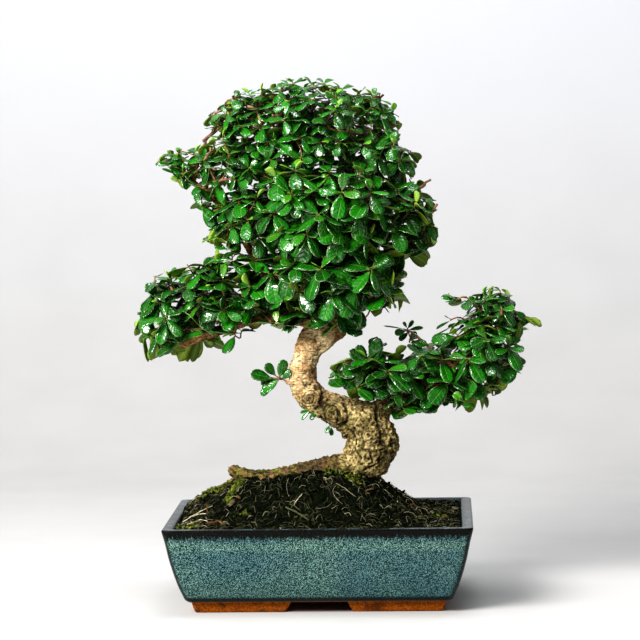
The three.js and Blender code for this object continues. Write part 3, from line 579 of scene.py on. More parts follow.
def glaze_material():
    material, tree, shader = new_material("blue_green_glaze")
    place = object_place(tree)
    height = upright(tree, place)
    worms = noise_texture(tree, place, 1450.0, 0.6, Roughness=0.5, Distortion=0.7)
    speckle = step(tree, worms, 0.497, 0.592)
    body, deeper, green, inner, lip = (mix(tree, speckle, *pair) for pair in (
        ("002725", "74948b"), ("002326", "5b7d80"), ("022b24", "82a292"), ("1d2b2d", "5c7173"),
        ("1a282c", "647d81")))
    strip = step(tree, math_node(tree, "ABSOLUTE", minus(tree, height, GREEN_MIDDLE)), *GREEN_FADE)
    tone = stained(tree, mix(tree, mottle(tree, 17.0, 0.35, 0.66)["Mask"], body, deeper),
                   ("123a36", step(tree, height, *LOW_SHADE), 0.22), (green, strip, 0.55))
    # the band starts at a ragged line: a noise squeezed sideways, so that it runs down the wall
    runs = noise_texture(tree, stretched(tree, place, (640.0, 640.0, 120.0)), 1.0, 3.0)
    ragged = plus(tree, height, times(tree, minus(tree, runs, 0.5), RAGGED))
    band = times(tree, step(tree, ragged, *BAND), step(tree, height, *BAND_END))
    dark = mix(tree, times(tree, speckle, 0.25), "040302", "121509")
    # painted shade: near-black lines down the corners and along the foot of the wall, where it turns from the
    # light
    corner = step(tree, attribute(tree, "corner"), *CORNER_SHADE_LINE)
    line = math_node(tree, "MAXIMUM", corner, step(tree, height, *FOOT_SHADE_LINE))
    line = times(tree, line, step(tree, height, *SHADE_LINES_END))
    tone = stained(tree, tone, (dark, band, 0.985), ("070808", line, 0.93))
    # lip and inner wall are greyer, with dark blotches
    lip = mix(tree, mottle(tree, 120.0, 0.4, 0.54)["Mask"], lip, "101110")
    tone = mix(tree, step(tree, height, *LIP), tone, lip)
    inner = mix(tree, mottle(tree, 70.0, 0.42, 0.6)["Mask"], inner, "1a2120")
    inside_pot = math_node(tree, "LESS_THAN", attribute(tree, "wall"), 0.5)
    tone = mix(tree, times(tree, inside_pot, step(tree, height, *INNER_WALL)), tone, inner)
    pinholes = use_group(tree, "flecks", Scale=150.0, Size=0.1, Softness=0.05)["Mask"]
    relief = minus(tree, worms, times(tree, pinholes, 0.6))
    finish_shader(tree, shader, Base_Color=stained(tree, tone, ("15181a", pinholes, 0.75)),
                  Roughness=ramp(tree, worms, (0.3, 0.16), (0.7, 0.3)), Specular_IOR_Level=0.12,
                  Coat_Weight=times(tree, minus(tree, 1.0, band), 0.08), Coat_Roughness=0.1,
                  Normal=bump(tree, relief, 0.10))
    return material


def clay_material():
    material, tree, shader = new_material("bare_orange_clay")
    smudge = mottle(tree, 95.0, 0.5, 0.72)["Mask"]
    grain = mottle(tree, 700.0, 0.35, 0.65)
    tone = stained(tree, mix(tree, grain["Mask"], "74370a", "a35c15"), ("2c190b", smudge, 0.7))
    finish_shader(tree, shader, Base_Color=tone, Roughness=0.85, Specular_IOR_Level=0.08,
                  Normal=bump(tree, grain["Height"], 0.25))
    return material


glaze, clay = glaze_material(), clay_material()
print("pot finishes:", glaze.name, "and", clay.name)

# %% Glazed body
def corner_distance(points, inset):
    """Millimetres from each point of a ring to the upright edge line at the nearest corner."""
    dx = POT_LENGTH / 2 - inset - np.abs(points[:, 0])
    dy = POT_DEPTH / 2 - inset - np.abs(points[:, 1])
    return np.abs(dx - dy) * 0.5 + np.maximum(dx, dy) * 0.5


def evaluated_mesh(thing):
    """The mesh that the object's modifiers make."""
    return bpy.data.meshes.new_from_object(thing.evaluated_get(bpy.context.evaluated_depsgraph_get()))


def cut_holes(piece):
    """Cuts the two drain holes with a boolean, and keeps the result as the piece's own mesh."""
    cutters = Heap()
    for x in (-DRAIN_OFFSET, DRAIN_OFFSET):
        add_tube(cutters, [[x, 0, 4], [x, 0, 24]], [DRAIN_RADIUS] * 2, 48)
    cutter = cutters.piece("drain_hole_cutter", [])
    change = piece.modifiers.new("drain holes", "BOOLEAN")
    change.object = cutter
    change.operation = "DIFFERENCE"
    change.solver = "EXACT"
    shaped = evaluated_mesh(piece)
    piece.modifiers.clear()
    piece.data = shaped
    bpy.data.objects.remove(cutter)


def glazed_body():
    around = len(body_rings[0])
    to_corner = [corner_distance(ring, POT_LENGTH / 2 - ring[:, 0].max()) for ring in body_rings]
    faces = loft_faces(len(body_rings), around)
    points = np.concatenate(body_rings)
    bare = [int(max(points[i][2] for i in face) < BARE_BELOW) for face in faces]
    outside = np.repeat([float(i <= OUTER_RINGS) for i in range(len(body_rings))], around)
    numbers = {"corner": np.concatenate(to_corner), "wall": outside}
    piece = make_piece("glazed_pot", points, faces, [glaze, clay], bare, numbers)
    cut_holes(piece)
    kept = sorted(layer.name for layer in piece.data.attributes if layer.data_type == "FLOAT")
    print("numbers kept on the glazed body:", kept)
    return piece


settle(glazed_body(), "glazed_clay", "pot")

# %% Feet
FOOT_SUNK = 0.6
FOOT_REACH = {-1: 103.5, 1: 102.5}
FOOT_DEPTH, FOOT_WIDTH, GAP_X, GAP_Y = 68, 15, 22, 19
# height, how far the sides have drawn in, and how far the ends slope there
FOOT_LEVELS = [(0.0, 3.8, 5.2), (0.35, 3.0, 5.0), (1.2, 2.4, 4.6), (4.5, 1.2, 2.6), (8.4, 0.2, 0.6),
               (BASE + FOOT_SUNK, 0.0, 0.0)]


def foot_outline(half_x, half_y, gap_x, gap_y, width, radius=2.2):
    """An L round one corner, with its ends cut where the gaps begin, as a ring with rounded corners."""
    corners = [(half_x, half_y), (gap_x, half_y), (gap_x, half_y - width), (half_x - width, half_y - width),
               (half_x - width, gap_y), (half_x, gap_y)]
    ring = []
    for i, corner in enumerate(corners):
        here = np.array(corner)
        before = unit(np.array(corners[i - 1]) - here)
        after = unit(np.array(corners[(i + 1) % 6]) - here)
        for t in np.linspace(0, 1, 6):
            ring.append(here + radius * ((1 - t) ** 2 * before + t**2 * after))
    return np.array(ring)


def foot_rings(sx, sy):
    """The rings of the foot at one corner, turned out to its side by the signs of x and y."""
    rings = []
    for z, inset, slope in FOOT_LEVELS:
        ring = foot_outline(FOOT_REACH[sx] - inset, FOOT_DEPTH - inset, GAP_X + slope, GAP_Y + slope,
                            FOOT_WIDTH - inset * 0.6)
        waves = [0.5 * noise.noise(Vector((x * 0.06 * sx, y * 0.06 * sy, z * 0.1 + sx))) for x, y in ring]
        ring = (ring + np.array(waves)[:, None]) * [sx, sy]
        rings.append(np.column_stack([ring, np.full(len(ring), z)]))
    return rings


def feet():
    heap = Heap()
    for sx, sy in ((-1, -1), (-1, 1), (1, -1), (1, 1)):
        rings = foot_rings(sx, sy)
        faces = loft_faces(len(rings), len(rings[0]))
        # a foot mirrored in one axis alone is turned inside out, so its faces are reversed
        heap.add(np.concatenate(rings), faces if sx * sy > 0 else [face[::-1] for face in faces])
    return heap.piece("clay_feet", [clay])


settle(feet(), "glazed_clay", "pot")

# %% [markdown]
# A plastic screen lies over each drain hole inside the pot, seen only from below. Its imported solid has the
# right shape already, so it stays and gets a dark, slightly dusty plastic.

# %% Drain screens
def screen_material():
    material, tree, shader = new_material("dark_screen_plastic")
    dust = mottle(tree, 240.0, 0.45, 0.75)["Mask"]
    finish_shader(tree, shader, Base_Color=mix(tree, dust, "15181b", "4a423a"),
                  Roughness=ramp(tree, dust, (0.0, 0.45), (1.0, 0.85)))
    return material


screen_plastic = screen_material()
for side in ("left", "right"):
    for place in frame["nodes"]["drain_screen_" + side].material_slots:
        place.material = screen_plastic
print("screens kept:", [n for n in frame["nodes"] if n.startswith("drain_screen")])

# %% [markdown]
# The soil is a dark mound, highest round the roots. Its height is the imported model's own formula with crumbs
# on top, made of several noises, from a few millimetres down to under one.

# %% Soil height
SOIL_EDGE, SOIL_RISE = 68.3, 36.7
CREST_FROM, CREST_TO, CREST_Y = -60.0, 46.0, -2.0
EDGE_X, EDGE_Y = POT_LENGTH / 2 - WALL, POT_DEPTH / 2 - WALL
HOLLOW_RIGHT, WASHED_AT, WASHED_DEEP = 7.5, -80, 2.6
# Surface roots as x, y, z and radius: earth lies heaped against them
HEAPED_ROOTS = [
    [(26, -6, 110, 10), (10, -8, 111, 8.5), (-6, -8, 110, 7.2), (-22, -8, 107, 6), (-40, -7, 104, 5.4),
     (-56, -6, 103, 5), (-66, -5, 102, 5)],
    [(-62, 0, 101, 4.5), (-74, 7, 98, 3.4), (-88, 12, 92, 3), (-101, 17, 84, 3)],
]
ROOT_STATIONS = np.concatenate([smooth_curve(path, 22) for path in HEAPED_ROOTS])


def heaped(x, y):
    """The height that earth reaches beside the surface roots."""
    rx, ry, rz, radius = ROOT_STATIONS.T
    away = np.hypot(x[..., None] - rx, y[..., None] - ry)
    return np.max(rz - 0.05 * radius - 0.75 * np.maximum(0, away - 0.7 * radius), axis=-1)


def mound_height(x, y):
    x, y = np.asarray(x, float), np.asarray(y, float)
    past = np.maximum((CREST_FROM - x) / (CREST_FROM + EDGE_X), (x - CREST_TO) / (EDGE_X - CREST_TO))
    along_x = 1 - smoothstep(0, 1, past) ** 0.9
    along_y = 1 - smoothstep(0, 1, np.abs(y - CREST_Y) / EDGE_Y) ** 0.85
    lumps = 0.9 * np.sin(x * 0.17 + 1.3) * np.cos(y * 0.21) + 0.6 * np.sin(x * 0.41 - y * 0.33)
    edge = np.maximum(np.abs(x) / EDGE_X, np.abs(y) / EDGE_Y)
    mound = SOIL_EDGE + SOIL_RISE * along_x * along_y + lumps * (1 - np.minimum(1, edge) ** 6)
    # watering has worn a hollow right of the trunk and a dip by the root's end
    hollow = HOLLOW_RIGHT * smoothstep(42, 56, x) * smoothstep(106, 80, x) * smoothstep(50, 25, np.abs(y))
    mound = mound - hollow
    washed_out = WASHED_DEEP * np.exp(-(((x - WASHED_AT) / 9) ** 2)) * smoothstep(45, 25, np.abs(y))
    return np.maximum(mound, heaped(x, y)) - washed_out


def crumb_height(x, y):
    """Loose crumbs: coarse and fine noise, with sharp hollows between."""
    at = Vector((x, y, 3.0))
    coarse = noise.noise(at * 0.11) * 1.1
    crumbs = (0.5 - abs(noise.noise(at * 0.34))) * 1.6
    fine = noise.noise(at * 0.9) * 0.7
    return coarse + crumbs + fine - 0.45


def surface(x, y):
    """The height of the soil with its crumbs."""
    return float(mound_height(x, y)) + crumb_height(x, y)


def clear_of_wall(x, y, margin):
    """The place moved in from the pot's wall, if it is closer than the margin."""
    far_x, far_y = EDGE_X - margin, EDGE_Y - margin
    return float(np.clip(x, -far_x, far_x)), float(np.clip(y, -far_y, far_y))


print("mound height over the crest:", round(float(mound_height(0, 0)), 1), "mm")

# %% Soil body
SOIL_GAP = 0.5
SOIL_STEP = 1.5
HALFWAY_DOWN = 44


def soil_points():
    """A level grid, pulled into the pot's rounded rectangle, then raised to the mound."""
    nx, ny = int(2 * EDGE_X / SOIL_STEP), int(2 * EDGE_Y / SOIL_STEP)
    inner_x, inner_y = EDGE_X - SOIL_GAP, EDGE_Y - SOIL_GAP
    x, y = np.meshgrid(np.linspace(-inner_x, inner_x, nx), np.linspace(-inner_y, inner_y, ny), indexing="ij")
    straight_x, straight_y = inner_x - INNER_ROUND, inner_y - INNER_ROUND
    over_x = np.maximum(np.abs(x) - straight_x, 0) / INNER_ROUND
    over_y = np.maximum(np.abs(y) - straight_y, 0) / INNER_ROUND
    pull = 1 / np.maximum(np.hypot(over_x, over_y) / np.maximum(np.maximum(over_x, over_y), 1e-9), 1)
    both = (over_x > 0) & (over_y > 0)
    x = np.where(both, np.sign(x) * (straight_x + INNER_ROUND * over_x * pull), x)
    y = np.where(both, np.sign(y) * (straight_y + INNER_ROUND * over_y * pull), y)
    edge = np.maximum(np.abs(x) / EDGE_X, np.abs(y) / EDGE_Y)
    crumbs = np.array([crumb_height(a, b) for a, b in zip(x.ravel(), y.ravel())]).reshape(x.shape)
    return np.stack([x, y, mound_height(x, y) + crumbs * (1 - 0.6 * edge**12)], axis=-1)


def drawn_in(rim, z, share_x, share_y):
    """The rim's ring lowered to a height, with its sides drawn in by a share."""
    return np.column_stack([rim[:, 0] * share_x, rim[:, 1] * share_y, np.full(len(rim), float(z))])


def soil_body(heap):
    top = soil_points()
    nx, ny = top.shape[:2]
    number = np.arange(nx * ny).reshape(nx, ny)
    quads = np.stack([number[:-1, :-1], number[1:, :-1], number[1:, 1:], number[:-1, 1:]], axis=-1)
    rim = np.concatenate([number[:-1, 0], number[-1, :-1], number[:0:-1, -1], number[0, :0:-1]])
    rim_points = top.reshape(-1, 3)[rim]
    halfway, floor = wall_inset(HALFWAY_DOWN) * 1.06, POT_FLOOR + 0.4
    middle = drawn_in(rim_points, HALFWAY_DOWN, 1 - halfway / EDGE_X, 1 - halfway / EDGE_Y)
    shares = 1 - wall_inset(floor) / np.array([EDGE_X, EDGE_Y])
    base = drawn_in(rim_points, floor, *(shares * 0.985))
    start, ring = nx * ny, len(rim)
    faces = quads.reshape(-1, 4).tolist()
    for i in range(ring):
        j = (i + 1) % ring
        faces.append([rim[j], rim[i], start + i, start + j])
        faces.append([start + j, start + i, start + ring + i, start + ring + j])
    faces.append([start + ring + i for i in reversed(range(ring))])
    heap.add(np.concatenate([top.reshape(-1, 3), middle, base]), faces)


soil_heap = Heap("tint")
soil_body(soil_heap)
print("points in the soil body:", soil_heap.count)

# %% [markdown]
# Loose crumbs lie on the mound. Each is a small ball of twenty faces with its corners pushed in and out, half
# sunk in the surface. Its height comes from the soil's own height formula, so nothing floats.

# %% Crumbs
LOOSE_CRUMBS = 2400
random = np.random.default_rng(41)


def crumb_form():
    ball = bmesh.new()
    bmesh.ops.create_icosphere(ball, subdivisions=1, radius=1.0)
    points = np.array([v.co[:] for v in ball.verts])
    faces = [[v.index for v in f.verts] for f in ball.faces]
    ball.free()
    return points, faces


CRUMB_POINTS, CRUMB_FACES = crumb_form()


def uneven(low, high):
    """The crumb's corners, each pushed in or out by its own share."""
    return CRUMB_POINTS * random.uniform(low, high, (len(CRUMB_POINTS), 1))


def add_crumb(heap, at, size, tint):
    points = uneven(0.6, 1.25) * random.uniform(0.6, 1.2, 3)
    angle = random.uniform(0, 6.28)
    turn = np.array(Matrix.Rotation(angle, 3, Vector(random.normal(size=3))))
    heap.add(at + size * (points @ turn), CRUMB_FACES, tint=tint)


def anywhere(margin):
    """A place on the soil, kept off the pot's wall by a margin."""
    return random.uniform(-1, 1) * (EDGE_X - margin), random.uniform(-1, 1) * (EDGE_Y - margin)


for _ in range(LOOSE_CRUMBS):
    x, y = anywhere(2.5)
    size = 0.5 + 1.6 * random.random() ** 2.4
    tint = random.random() if random.random() < 0.25 else 0.0
    add_crumb(soil_heap, np.array([x, y, surface(x, y) + 0.25 * size]), size, tint)
print("points with the loose crumbs:", soil_heap.count)

# %% Soil finish
def soil_material():
    material, tree, shader = new_material("dark_potting_soil")
    clods = mottle(tree, 260.0, 0.4, 0.62)
    fibres = mottle(tree, 900.0, 0.58, 0.7)["Mask"]
    damp = mottle(tree, 45.0, 0.4, 0.62)["Mask"]
    tone = stained(tree, mix(tree, clods["Mask"], "020301", "0d1208"), ("2f3620", fibres, 0.45),
                   ("0c0f07", damp, 0.5), ("38371f", attribute(tree, "tint"), 0.6))
    finish_shader(tree, shader, Base_Color=tone, Roughness=0.95, Specular_IOR_Level=0.02,
                  Normal=bump(tree, clods["Height"], 1.4))
    return material


settle(soil_heap.piece("soil_mound", [soil_material()]), "soil", "soil")

# %% [markdown]
# On the soil lie hundreds of thin curly root fibres, a few twigs, bark chips and straws, and moss grows where
# it stays damp. A fibre is a tube along a wandering line that stays near the surface. Moss is a bed of small
# crumbs with short pointed leaflets, which are narrow closed cones.

# %% Fibres and twigs on the soil
STEP_LENGTH = 1.6


def wander(x, y, length, turn, lift):
    """A curly line over the soil from x, y, a little above it."""
    count = max(5, int(length / STEP_LENGTH))
    heading = random.uniform(0, 2 * math.pi)
    bend = random.normal() * turn
    line = []
    for i in range(count):
        line.append([x, y, surface(x, y) + 0.25 + lift * math.sin(math.pi * (i / (count - 1)))])
        bend += random.normal() * turn * 0.6
        heading += bend
        x, y = clear_of_wall(x + STEP_LENGTH * math.cos(heading), y + STEP_LENGTH * math.sin(heading), 2)
    return smooth_curve(line, min(11, count + 1))


def straight_bit(heap, start, end, radius, tint, sag):
    """A twig or straw between two places, each x, y and height over the soil."""
    a, b = (np.array([x, y, surface(x, y) + over]) for x, y, over in (start, end))
    t = np.linspace(0, 1, 8)[:, None]
    path = a + (b - a) * t + random.normal(size=(8, 3)) * 0.18
    path[:, 2] += sag * np.sin(np.pi * t[:, 0])
    add_tube(heap, path, np.linspace(radius, radius * 0.7, 8), 5, tint=tint)


FIBRES = 2300
litter_heap = Heap("tint")
for _ in range(FIBRES):
    x, y = anywhere(4)
    length = random.uniform(3, 9) if random.random() < 0.88 else random.uniform(9, 24)
    path = wander(x, y, length, random.uniform(0.03, 0.2), random.uniform(0.2, 2.2))
    # most are dark, some grey green, a few pale
    tints = [random.uniform(0.0, 0.3), random.uniform(0.3, 0.5), random.uniform(0.78, 1)]
    tint = random.choice(tints, p=[0.42, 0.4, 0.18])
    add_tube(litter_heap, path, np.full(len(path), random.uniform(0.1, 0.18)), 3, tint=tint)

# Straws, twigs and a curled root, where the photograph shows them: both ends, radius and tint
NAMED_BITS = [
    ((-20, -47, 0.8), (-14, -39, 3.2), 0.5, 0.95), ((-27, -47, 0.6), (-7, -62, 0.8), 0.9, 0.35),
    ((-24, -45, 1.5), (-15, -52, 1.2), 0.6, 0.35), ((-91.6, -33, 0.2), (-92.4, -30, 7.5), 0.7, 0.62),
    ((-112, -34, 1), (-88, -28, 2.2), 0.55, 0.9), ((-108, -22, 1), (-93, -34, 1.5), 0.5, 0.95),
    ((98, -40, 0.6), (105, -36, 1.8), 0.8, 0.7), ((38, -33, 1), (44, -31, 1.4), 0.7, 0.7),
    ((60, 40, 1), (48, 52, 1.2), 0.7, 0.4), ((-60, 50, 1), (-42, 44, 2.5), 0.6, 0.8),
    ((20, 60, 0.8), (38, 66, 1), 0.5, 0.9), ((14, -30, 1), (30, -42, 2.6), 0.35, 0.8),
    ((74, -20, 1), (80, -17, 1.5), 0.9, 0.68), ((-110, -60, 1), (-98, -52, 2), 0.4, 0.95),
    ((-100, -44, 1.5), (-90, -56, 1), 0.35, 1.0), ((-106, -40, 1), (-112, -52, 1.5), 0.4, 0.9),
    ((-94, -60, 0.8), (-84, -64, 1.2), 0.4, 0.68), ((-90, -66, 0.8), (-78, -62, 1.4), 0.4, 0.66),
    ((-86, -58, 1), (-76, -66, 1), 0.35, 0.65),
]
for start, end, radius, tint in NAMED_BITS:
    straight_bit(litter_heap, start, end, radius, tint, 0.8)
print("fibres, straws and twigs:", FIBRES + len(NAMED_BITS))

# %% Bark chips and moss
# x, y, size and tint
CHIPS = [
    (-71, -40, 7, 0.5), (-66, -36, 4, 0.6), (75, -22, 3, 0.7), (40, -34, 2.6, 0.7), (-30, 46, 5, 0.5),
    (52, 30, 4, 0.55), (-96, -52, 3.2, 0.62), (-80, -60, 4.2, 0.63), (-76, -63, 3.4, 0.63),
    (-85, -59, 3.0, 0.64),
]
CHIP_FLATNESS = [1.0, 0.42, 0.16]
tip_over = np.array(Matrix.Rotation(-0.5, 3, "X"))
for x, y, size, tint in CHIPS:
    turn = np.array(Matrix.Rotation(random.uniform(0, 6.28), 3, "Z"))
    chip = uneven(0.75, 1.1) * CHIP_FLATNESS @ turn @ tip_over
    litter_heap.add([x, y, surface(x, y) + 0.22 * size] + size * chip, CRUMB_FACES, tint=tint)

MOSS_BEDS = [
    # x, y, reach in x and y, tufts: the left ledge, under the stub, the front left cushion, the trunk's foot
    (-94, 12, 13, 5, 100), (-82, 4, 6, 6, 40), (-68, -16, 6, 7, 70), (-74, -30, 5, 8, 24),
    (-104, -50, 9, 4, 26), (12, -17, 9, 4, 46), (30, -22, 8, 5, 34), (-104, -66, 10, 3, 24),
    (-60, -54, 4, 3, 12), (98, -20, 5, 5, 8), (20, 24, 18, 6, 90), (-30, 14, 20, 5, 70), (60, 26, 9, 8, 40),
    (-100, 40, 8, 14, 50), (90, 55, 10, 8, 36),
]
LONE_TUFTS, LEAFLETS = 70, 5


def leaflet(heap, at, way, length, tint):
    """A pointed leaflet: a three-sided closed cone."""
    across = unit(np.cross(way, [0.3, 0.5, 0.81]))
    other = np.cross(way, across)
    ring = [at + 0.26 * (math.cos(a) * across + math.sin(a) * other) for a in np.arange(3) * 2 * math.pi / 3]
    heap.add(ring + [at + way * length], [[2, 1, 0], [0, 1, 3], [1, 2, 3], [2, 0, 3]], tint=tint)


moss_heap = Heap("tint")


def moss_tuft(at, size, tint):
    add_crumb(moss_heap, at, size, tint)
    for _ in range(LEAFLETS):
        way = unit(random.normal(size=3) * [1, 1, 0.6] + [0, 0, 0.9])
        leaflet(moss_heap, at + way * size * 0.6, way, random.uniform(0.8, 1.9), min(1.0, tint + 0.25))


for x, y, reach_x, reach_y, tufts in MOSS_BEDS:
    for _ in range(tufts):
        a, b = clear_of_wall(x + random.normal() * reach_x * 0.5, y + random.normal() * reach_y * 0.5, 2)
        size = random.uniform(0.7, 1.5)
        moss_tuft(np.array([a, b, surface(a, b) + 0.3 * size]), size, random.uniform(0, 0.7))
for _ in range(LONE_TUFTS):
    a, b = anywhere(4)
    moss_tuft(np.array([a, b, surface(a, b) + 0.2]), random.uniform(0.4, 0.9), random.uniform(0, 0.6))
print("moss points:", moss_heap.count)

# %% Litter and moss finishes
def litter_material():
    material, tree, shader = new_material("dry_fibres_and_bark")
    stains = mottle(tree, 330.0, 0.42, 0.62)
    tone = ramp(tree, attribute(tree, "tint"), (0.0, "0d1108"), (0.25, "2a3120"), (0.45, "5d6245"),
                (0.66, "5c3217"), (0.8, "857d66"), (1.0, "d3c9ab"))
    finish_shader(tree, shader, Base_Color=stained(tree, tone, ("2b2115", stains["Mask"], 0.55)),
                  Roughness=0.8, Specular_IOR_Level=0.12, Normal=bump(tree, stains["Height"], 0.3))
    return material


def moss_material():
    material, tree, shader = new_material("yellow_green_moss")
    clumps = mottle(tree, 150.0, 0.38, 0.64)["Mask"]
    fine = mottle(tree, 1100.0, 0.35, 0.65)["Height"]
    tone = ramp(tree, attribute(tree, "tint"), (0.0, "0f1706"), (0.5, "46580f"), (1.0, "a5a436"))
    finish_shader(tree, shader, Base_Color=stained(tree, tone, ("1d2a0a", clumps, 0.4)), Roughness=0.9,
                  Specular_IOR_Level=0.15, Normal=bump(tree, fine, 0.3))
    return material


settle(litter_heap.piece("fibres_and_bark_chips", [litter_material()]), "soil", "soil")
moss_finish = moss_material()

# %% [markdown]
# The wood starts from the imported solid itself: a copy is remeshed into fine even faces and smoothed, so
# trunk, roots and branches flow into one another. Bark is then pressed in with numbers per point: lumps, pits
# and cracks on the old lower trunk, swirls where branches were cut, and finer wrinkles higher up. A darkness
# per point paints shade into those cracks, creases, pits and knot rings.

# %% Wood: a fine copy of the imported solid
WOOD_VOXEL = 0.92


def node_points(vertices):
    """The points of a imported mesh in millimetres."""
    points = np.empty(len(vertices) * 3, np.float32)
    vertices.foreach_get("co", points)
    return from_frame(points.reshape(-1, 3))


def fine_copy(node, name, voxel):
    """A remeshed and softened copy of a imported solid, with its points and normals."""
    solid = frame["nodes"][node]
    copy = in_scene(name, solid.data.copy())
    copy.matrix_world = solid.matrix_world
    change = copy.modifiers.new("fine", "REMESH")
    change.mode = "VOXEL"
    change.voxel_size = voxel * MM
    soften = copy.modifiers.new("soften", "SMOOTH")
    soften.factor = 0.6
    soften.iterations = 9
    mesh = evaluated_mesh(copy)
    bpy.data.objects.remove(copy)
    normals = np.empty(len(mesh.vertices) * 3, np.float32)
    mesh.vertex_normals.foreach_get("vector", normals)
    return mesh, node_points(mesh.vertices), normals.reshape(-1, 3).astype(float)


def ray_tree(points):
    """Finds where a ray meets the wood whose points are given, and the nearest place on it."""
    return BVHTree.FromPolygons([Vector(p) for p in points], [list(p.vertices) for p in wood_mesh.polygons])


wood_mesh, wood_points, wood_normals = fine_copy("wood", "fine_wood", WOOD_VOXEL)
print("points on the fine wood:", len(wood_points), "faces:", len(wood_mesh.polygons))

# %% Wood: how far each point lies from the trunk
# x, y, z and radius along the trunk's middle
TRUNK = np.array([
    [28, 3, 78, 12], [28, 2, 92, 13], [30, 1, 103, 15.5], [37, 0, 116, 21], [43, -1, 129, 22.5],
    [39, -2, 143, 19.5], [27, -3, 151, 16], [12, -2, 157, 13.5], [0, -1, 164, 11.5], [-9, 0, 172, 12],
    [-14.5, 1, 183, 11.2], [-15.5, 1, 195, 10.8], [-11.5, 0, 208, 11.6], [-2, 0, 220, 12], [7, 0, 232, 9.8],
    [11, 1, 246, 7.8], [10, 3, 275, 6.6], [3, 2, 300, 5.6], [-5, 0, 328, 4.6], [-8, 0, 352, 3.6],
    [-8, 0, 372, 2.4]])
trunk_line = smooth_curve(TRUNK, 240)
POINTS_AT_ONCE = 4000


def past_trunk(points):
    """Millimetres from each point to the trunk's own surface, which roots and limbs lie outside of."""
    past = np.empty(len(points))
    for start in range(0, len(points), POINTS_AT_ONCE):
        part = points[start:start + POINTS_AT_ONCE]
        away = np.linalg.norm(part[:, None] - trunk_line[None, :, :3], axis=2)
        nearest = trunk_line[(away - trunk_line[None, :, 3]).argmin(axis=1)]
        past[start:start + POINTS_AT_ONCE] = np.linalg.norm(part - nearest[:, :3], axis=1) - nearest[:, 3]
    return past


trunk_past = past_trunk(wood_points)
print("points of the wood that are on the trunk:", int(np.sum(trunk_past < 4)))

# %% Wood: knots and cracks, by where they are on the trunk
wood_before = ray_tree(wood_points)


def on_wood(x, z, side):
    """The place on the wood's front (side -1) or back (side 1) at x and z."""
    hit = wood_before.ray_cast(Vector((x, side * 90, z)), Vector((0, -side, 0)))[0]
    return np.array(hit if hit is not None else (x, 0, z))


# x, z, side, reach, how far it bulges, how deep its rings are
KNOTS = [
    (-7, 168, -1, 9.5, 2.6, 0.75), (12.5, 155.5, -1, 10.5, 3.0, 0.75), (40, 138.5, -1, 5.5, 0.9, 0.8),
    (34, 146.5, -1, 5.5, 1.2, 0.6), (-4.5, 215.5, -1, 3.0, 0.5, 0.4), (22, 137, -1, 6.0, 1.6, 0.5),
    (50, 128, -1, 5.0, 1.0, 0.5), (10, 226, -1, 5.0, 1.2, 0.5), (-13, 190, -1, 6.0, 0.8, 0.3),
    (-8, 186, 1, 8.0, 1.8, 0.6), (30, 140, 1, 8.0, 2.2, 0.7), (48, 126, 1, 6.5, 1.6, 0.6),
    (6, 160, 1, 7.0, 1.8, 0.6), (2, 216, 1, 6.0, 1.2, 0.5), (40, 112, 1, 6.0, 1.4, 0.5),
]
# lines of x and z, side, depth, width
CRACKS = [
    ([(59, 152), (60, 143), (59, 131), (61, 119), (58, 109)], -1, 3.0, 1.3),
    ([(2, 181), (3.5, 171), (2.5, 162), (6, 152)], -1, 2.6, 1.5),
    ([(20, 168), (23.5, 159), (22, 149), (15, 142)], -1, 2.2, 1.4),
    ([(8, 163), (14.5, 161), (18, 155), (15, 149)], -1, 1.2, 0.8),
    ([(46, 163), (48, 147), (51, 131), (49, 115)], -1, 1.9, 1.2),
    ([(24, 143), (30, 136), (29, 127), (34, 119)], -1, 1.7, 1.1),
    ([(34, 128), (41, 124), (43, 117)], -1, 1.2, 0.9),
    ([(-14, 181), (-8, 179), (-1, 181)], -1, 0.9, 0.8),
    ([(52, 118), (44, 112), (36, 109)], -1, 1.4, 1.0),
    ([(38, 156), (41, 142), (38, 124), (41, 108)], 1, 2.4, 1.3),
    ([(20, 152), (24, 138), (21, 120)], 1, 1.8, 1.2),
    ([(-4, 178), (2, 168), (12, 160)], 1, 1.6, 1.1),
    ([(54, 146), (56, 130), (53, 114)], 1, 1.8, 1.2),
]
print("knots:", len(KNOTS), "long cracks:", len(CRACKS))


# %% Wood: bark relief
def noise_at(points, scale, seed=0.0):
    return np.array([noise.noise(Vector(p) * scale + Vector((seed, seed, seed))) for p in points])


def creases_at(points, scale, width, seed):
    """1 along thin crooked lines, where a noise passes through zero."""
    return np.exp(-((noise_at(points, scale, seed) / width) ** 2))


def near_line(points, line, side):
    """Distance from each point to a smooth line that lies on the wood."""
    curve = smooth_curve([on_wood(x, z, side) for x, z in line], 40)
    return np.linalg.norm(points[:, None] - curve[None], axis=2).min(axis=1)


def pits_at(points, scale):
    """1 in the middle of small round pits, 0 between them."""
    near = np.array([noise.voronoi(Vector(p) * scale)[0][0] for p in points])
    return np.clip(1 - near / 0.42, 0, 1)


def press_cracks(points, relief, dark):
    """Long cracks that wander a little, each deepest along its line and darkened there with painted shade."""
    for line, side, depth, width in CRACKS:
        near = near_line(points + noise_at(points, 0.3, 23)[:, None] * 1.2, line, side)
        relief -= depth * np.exp(-((near / width) ** 2))
        dark += 1.4 * np.exp(-((near / (width * 0.9)) ** 2))


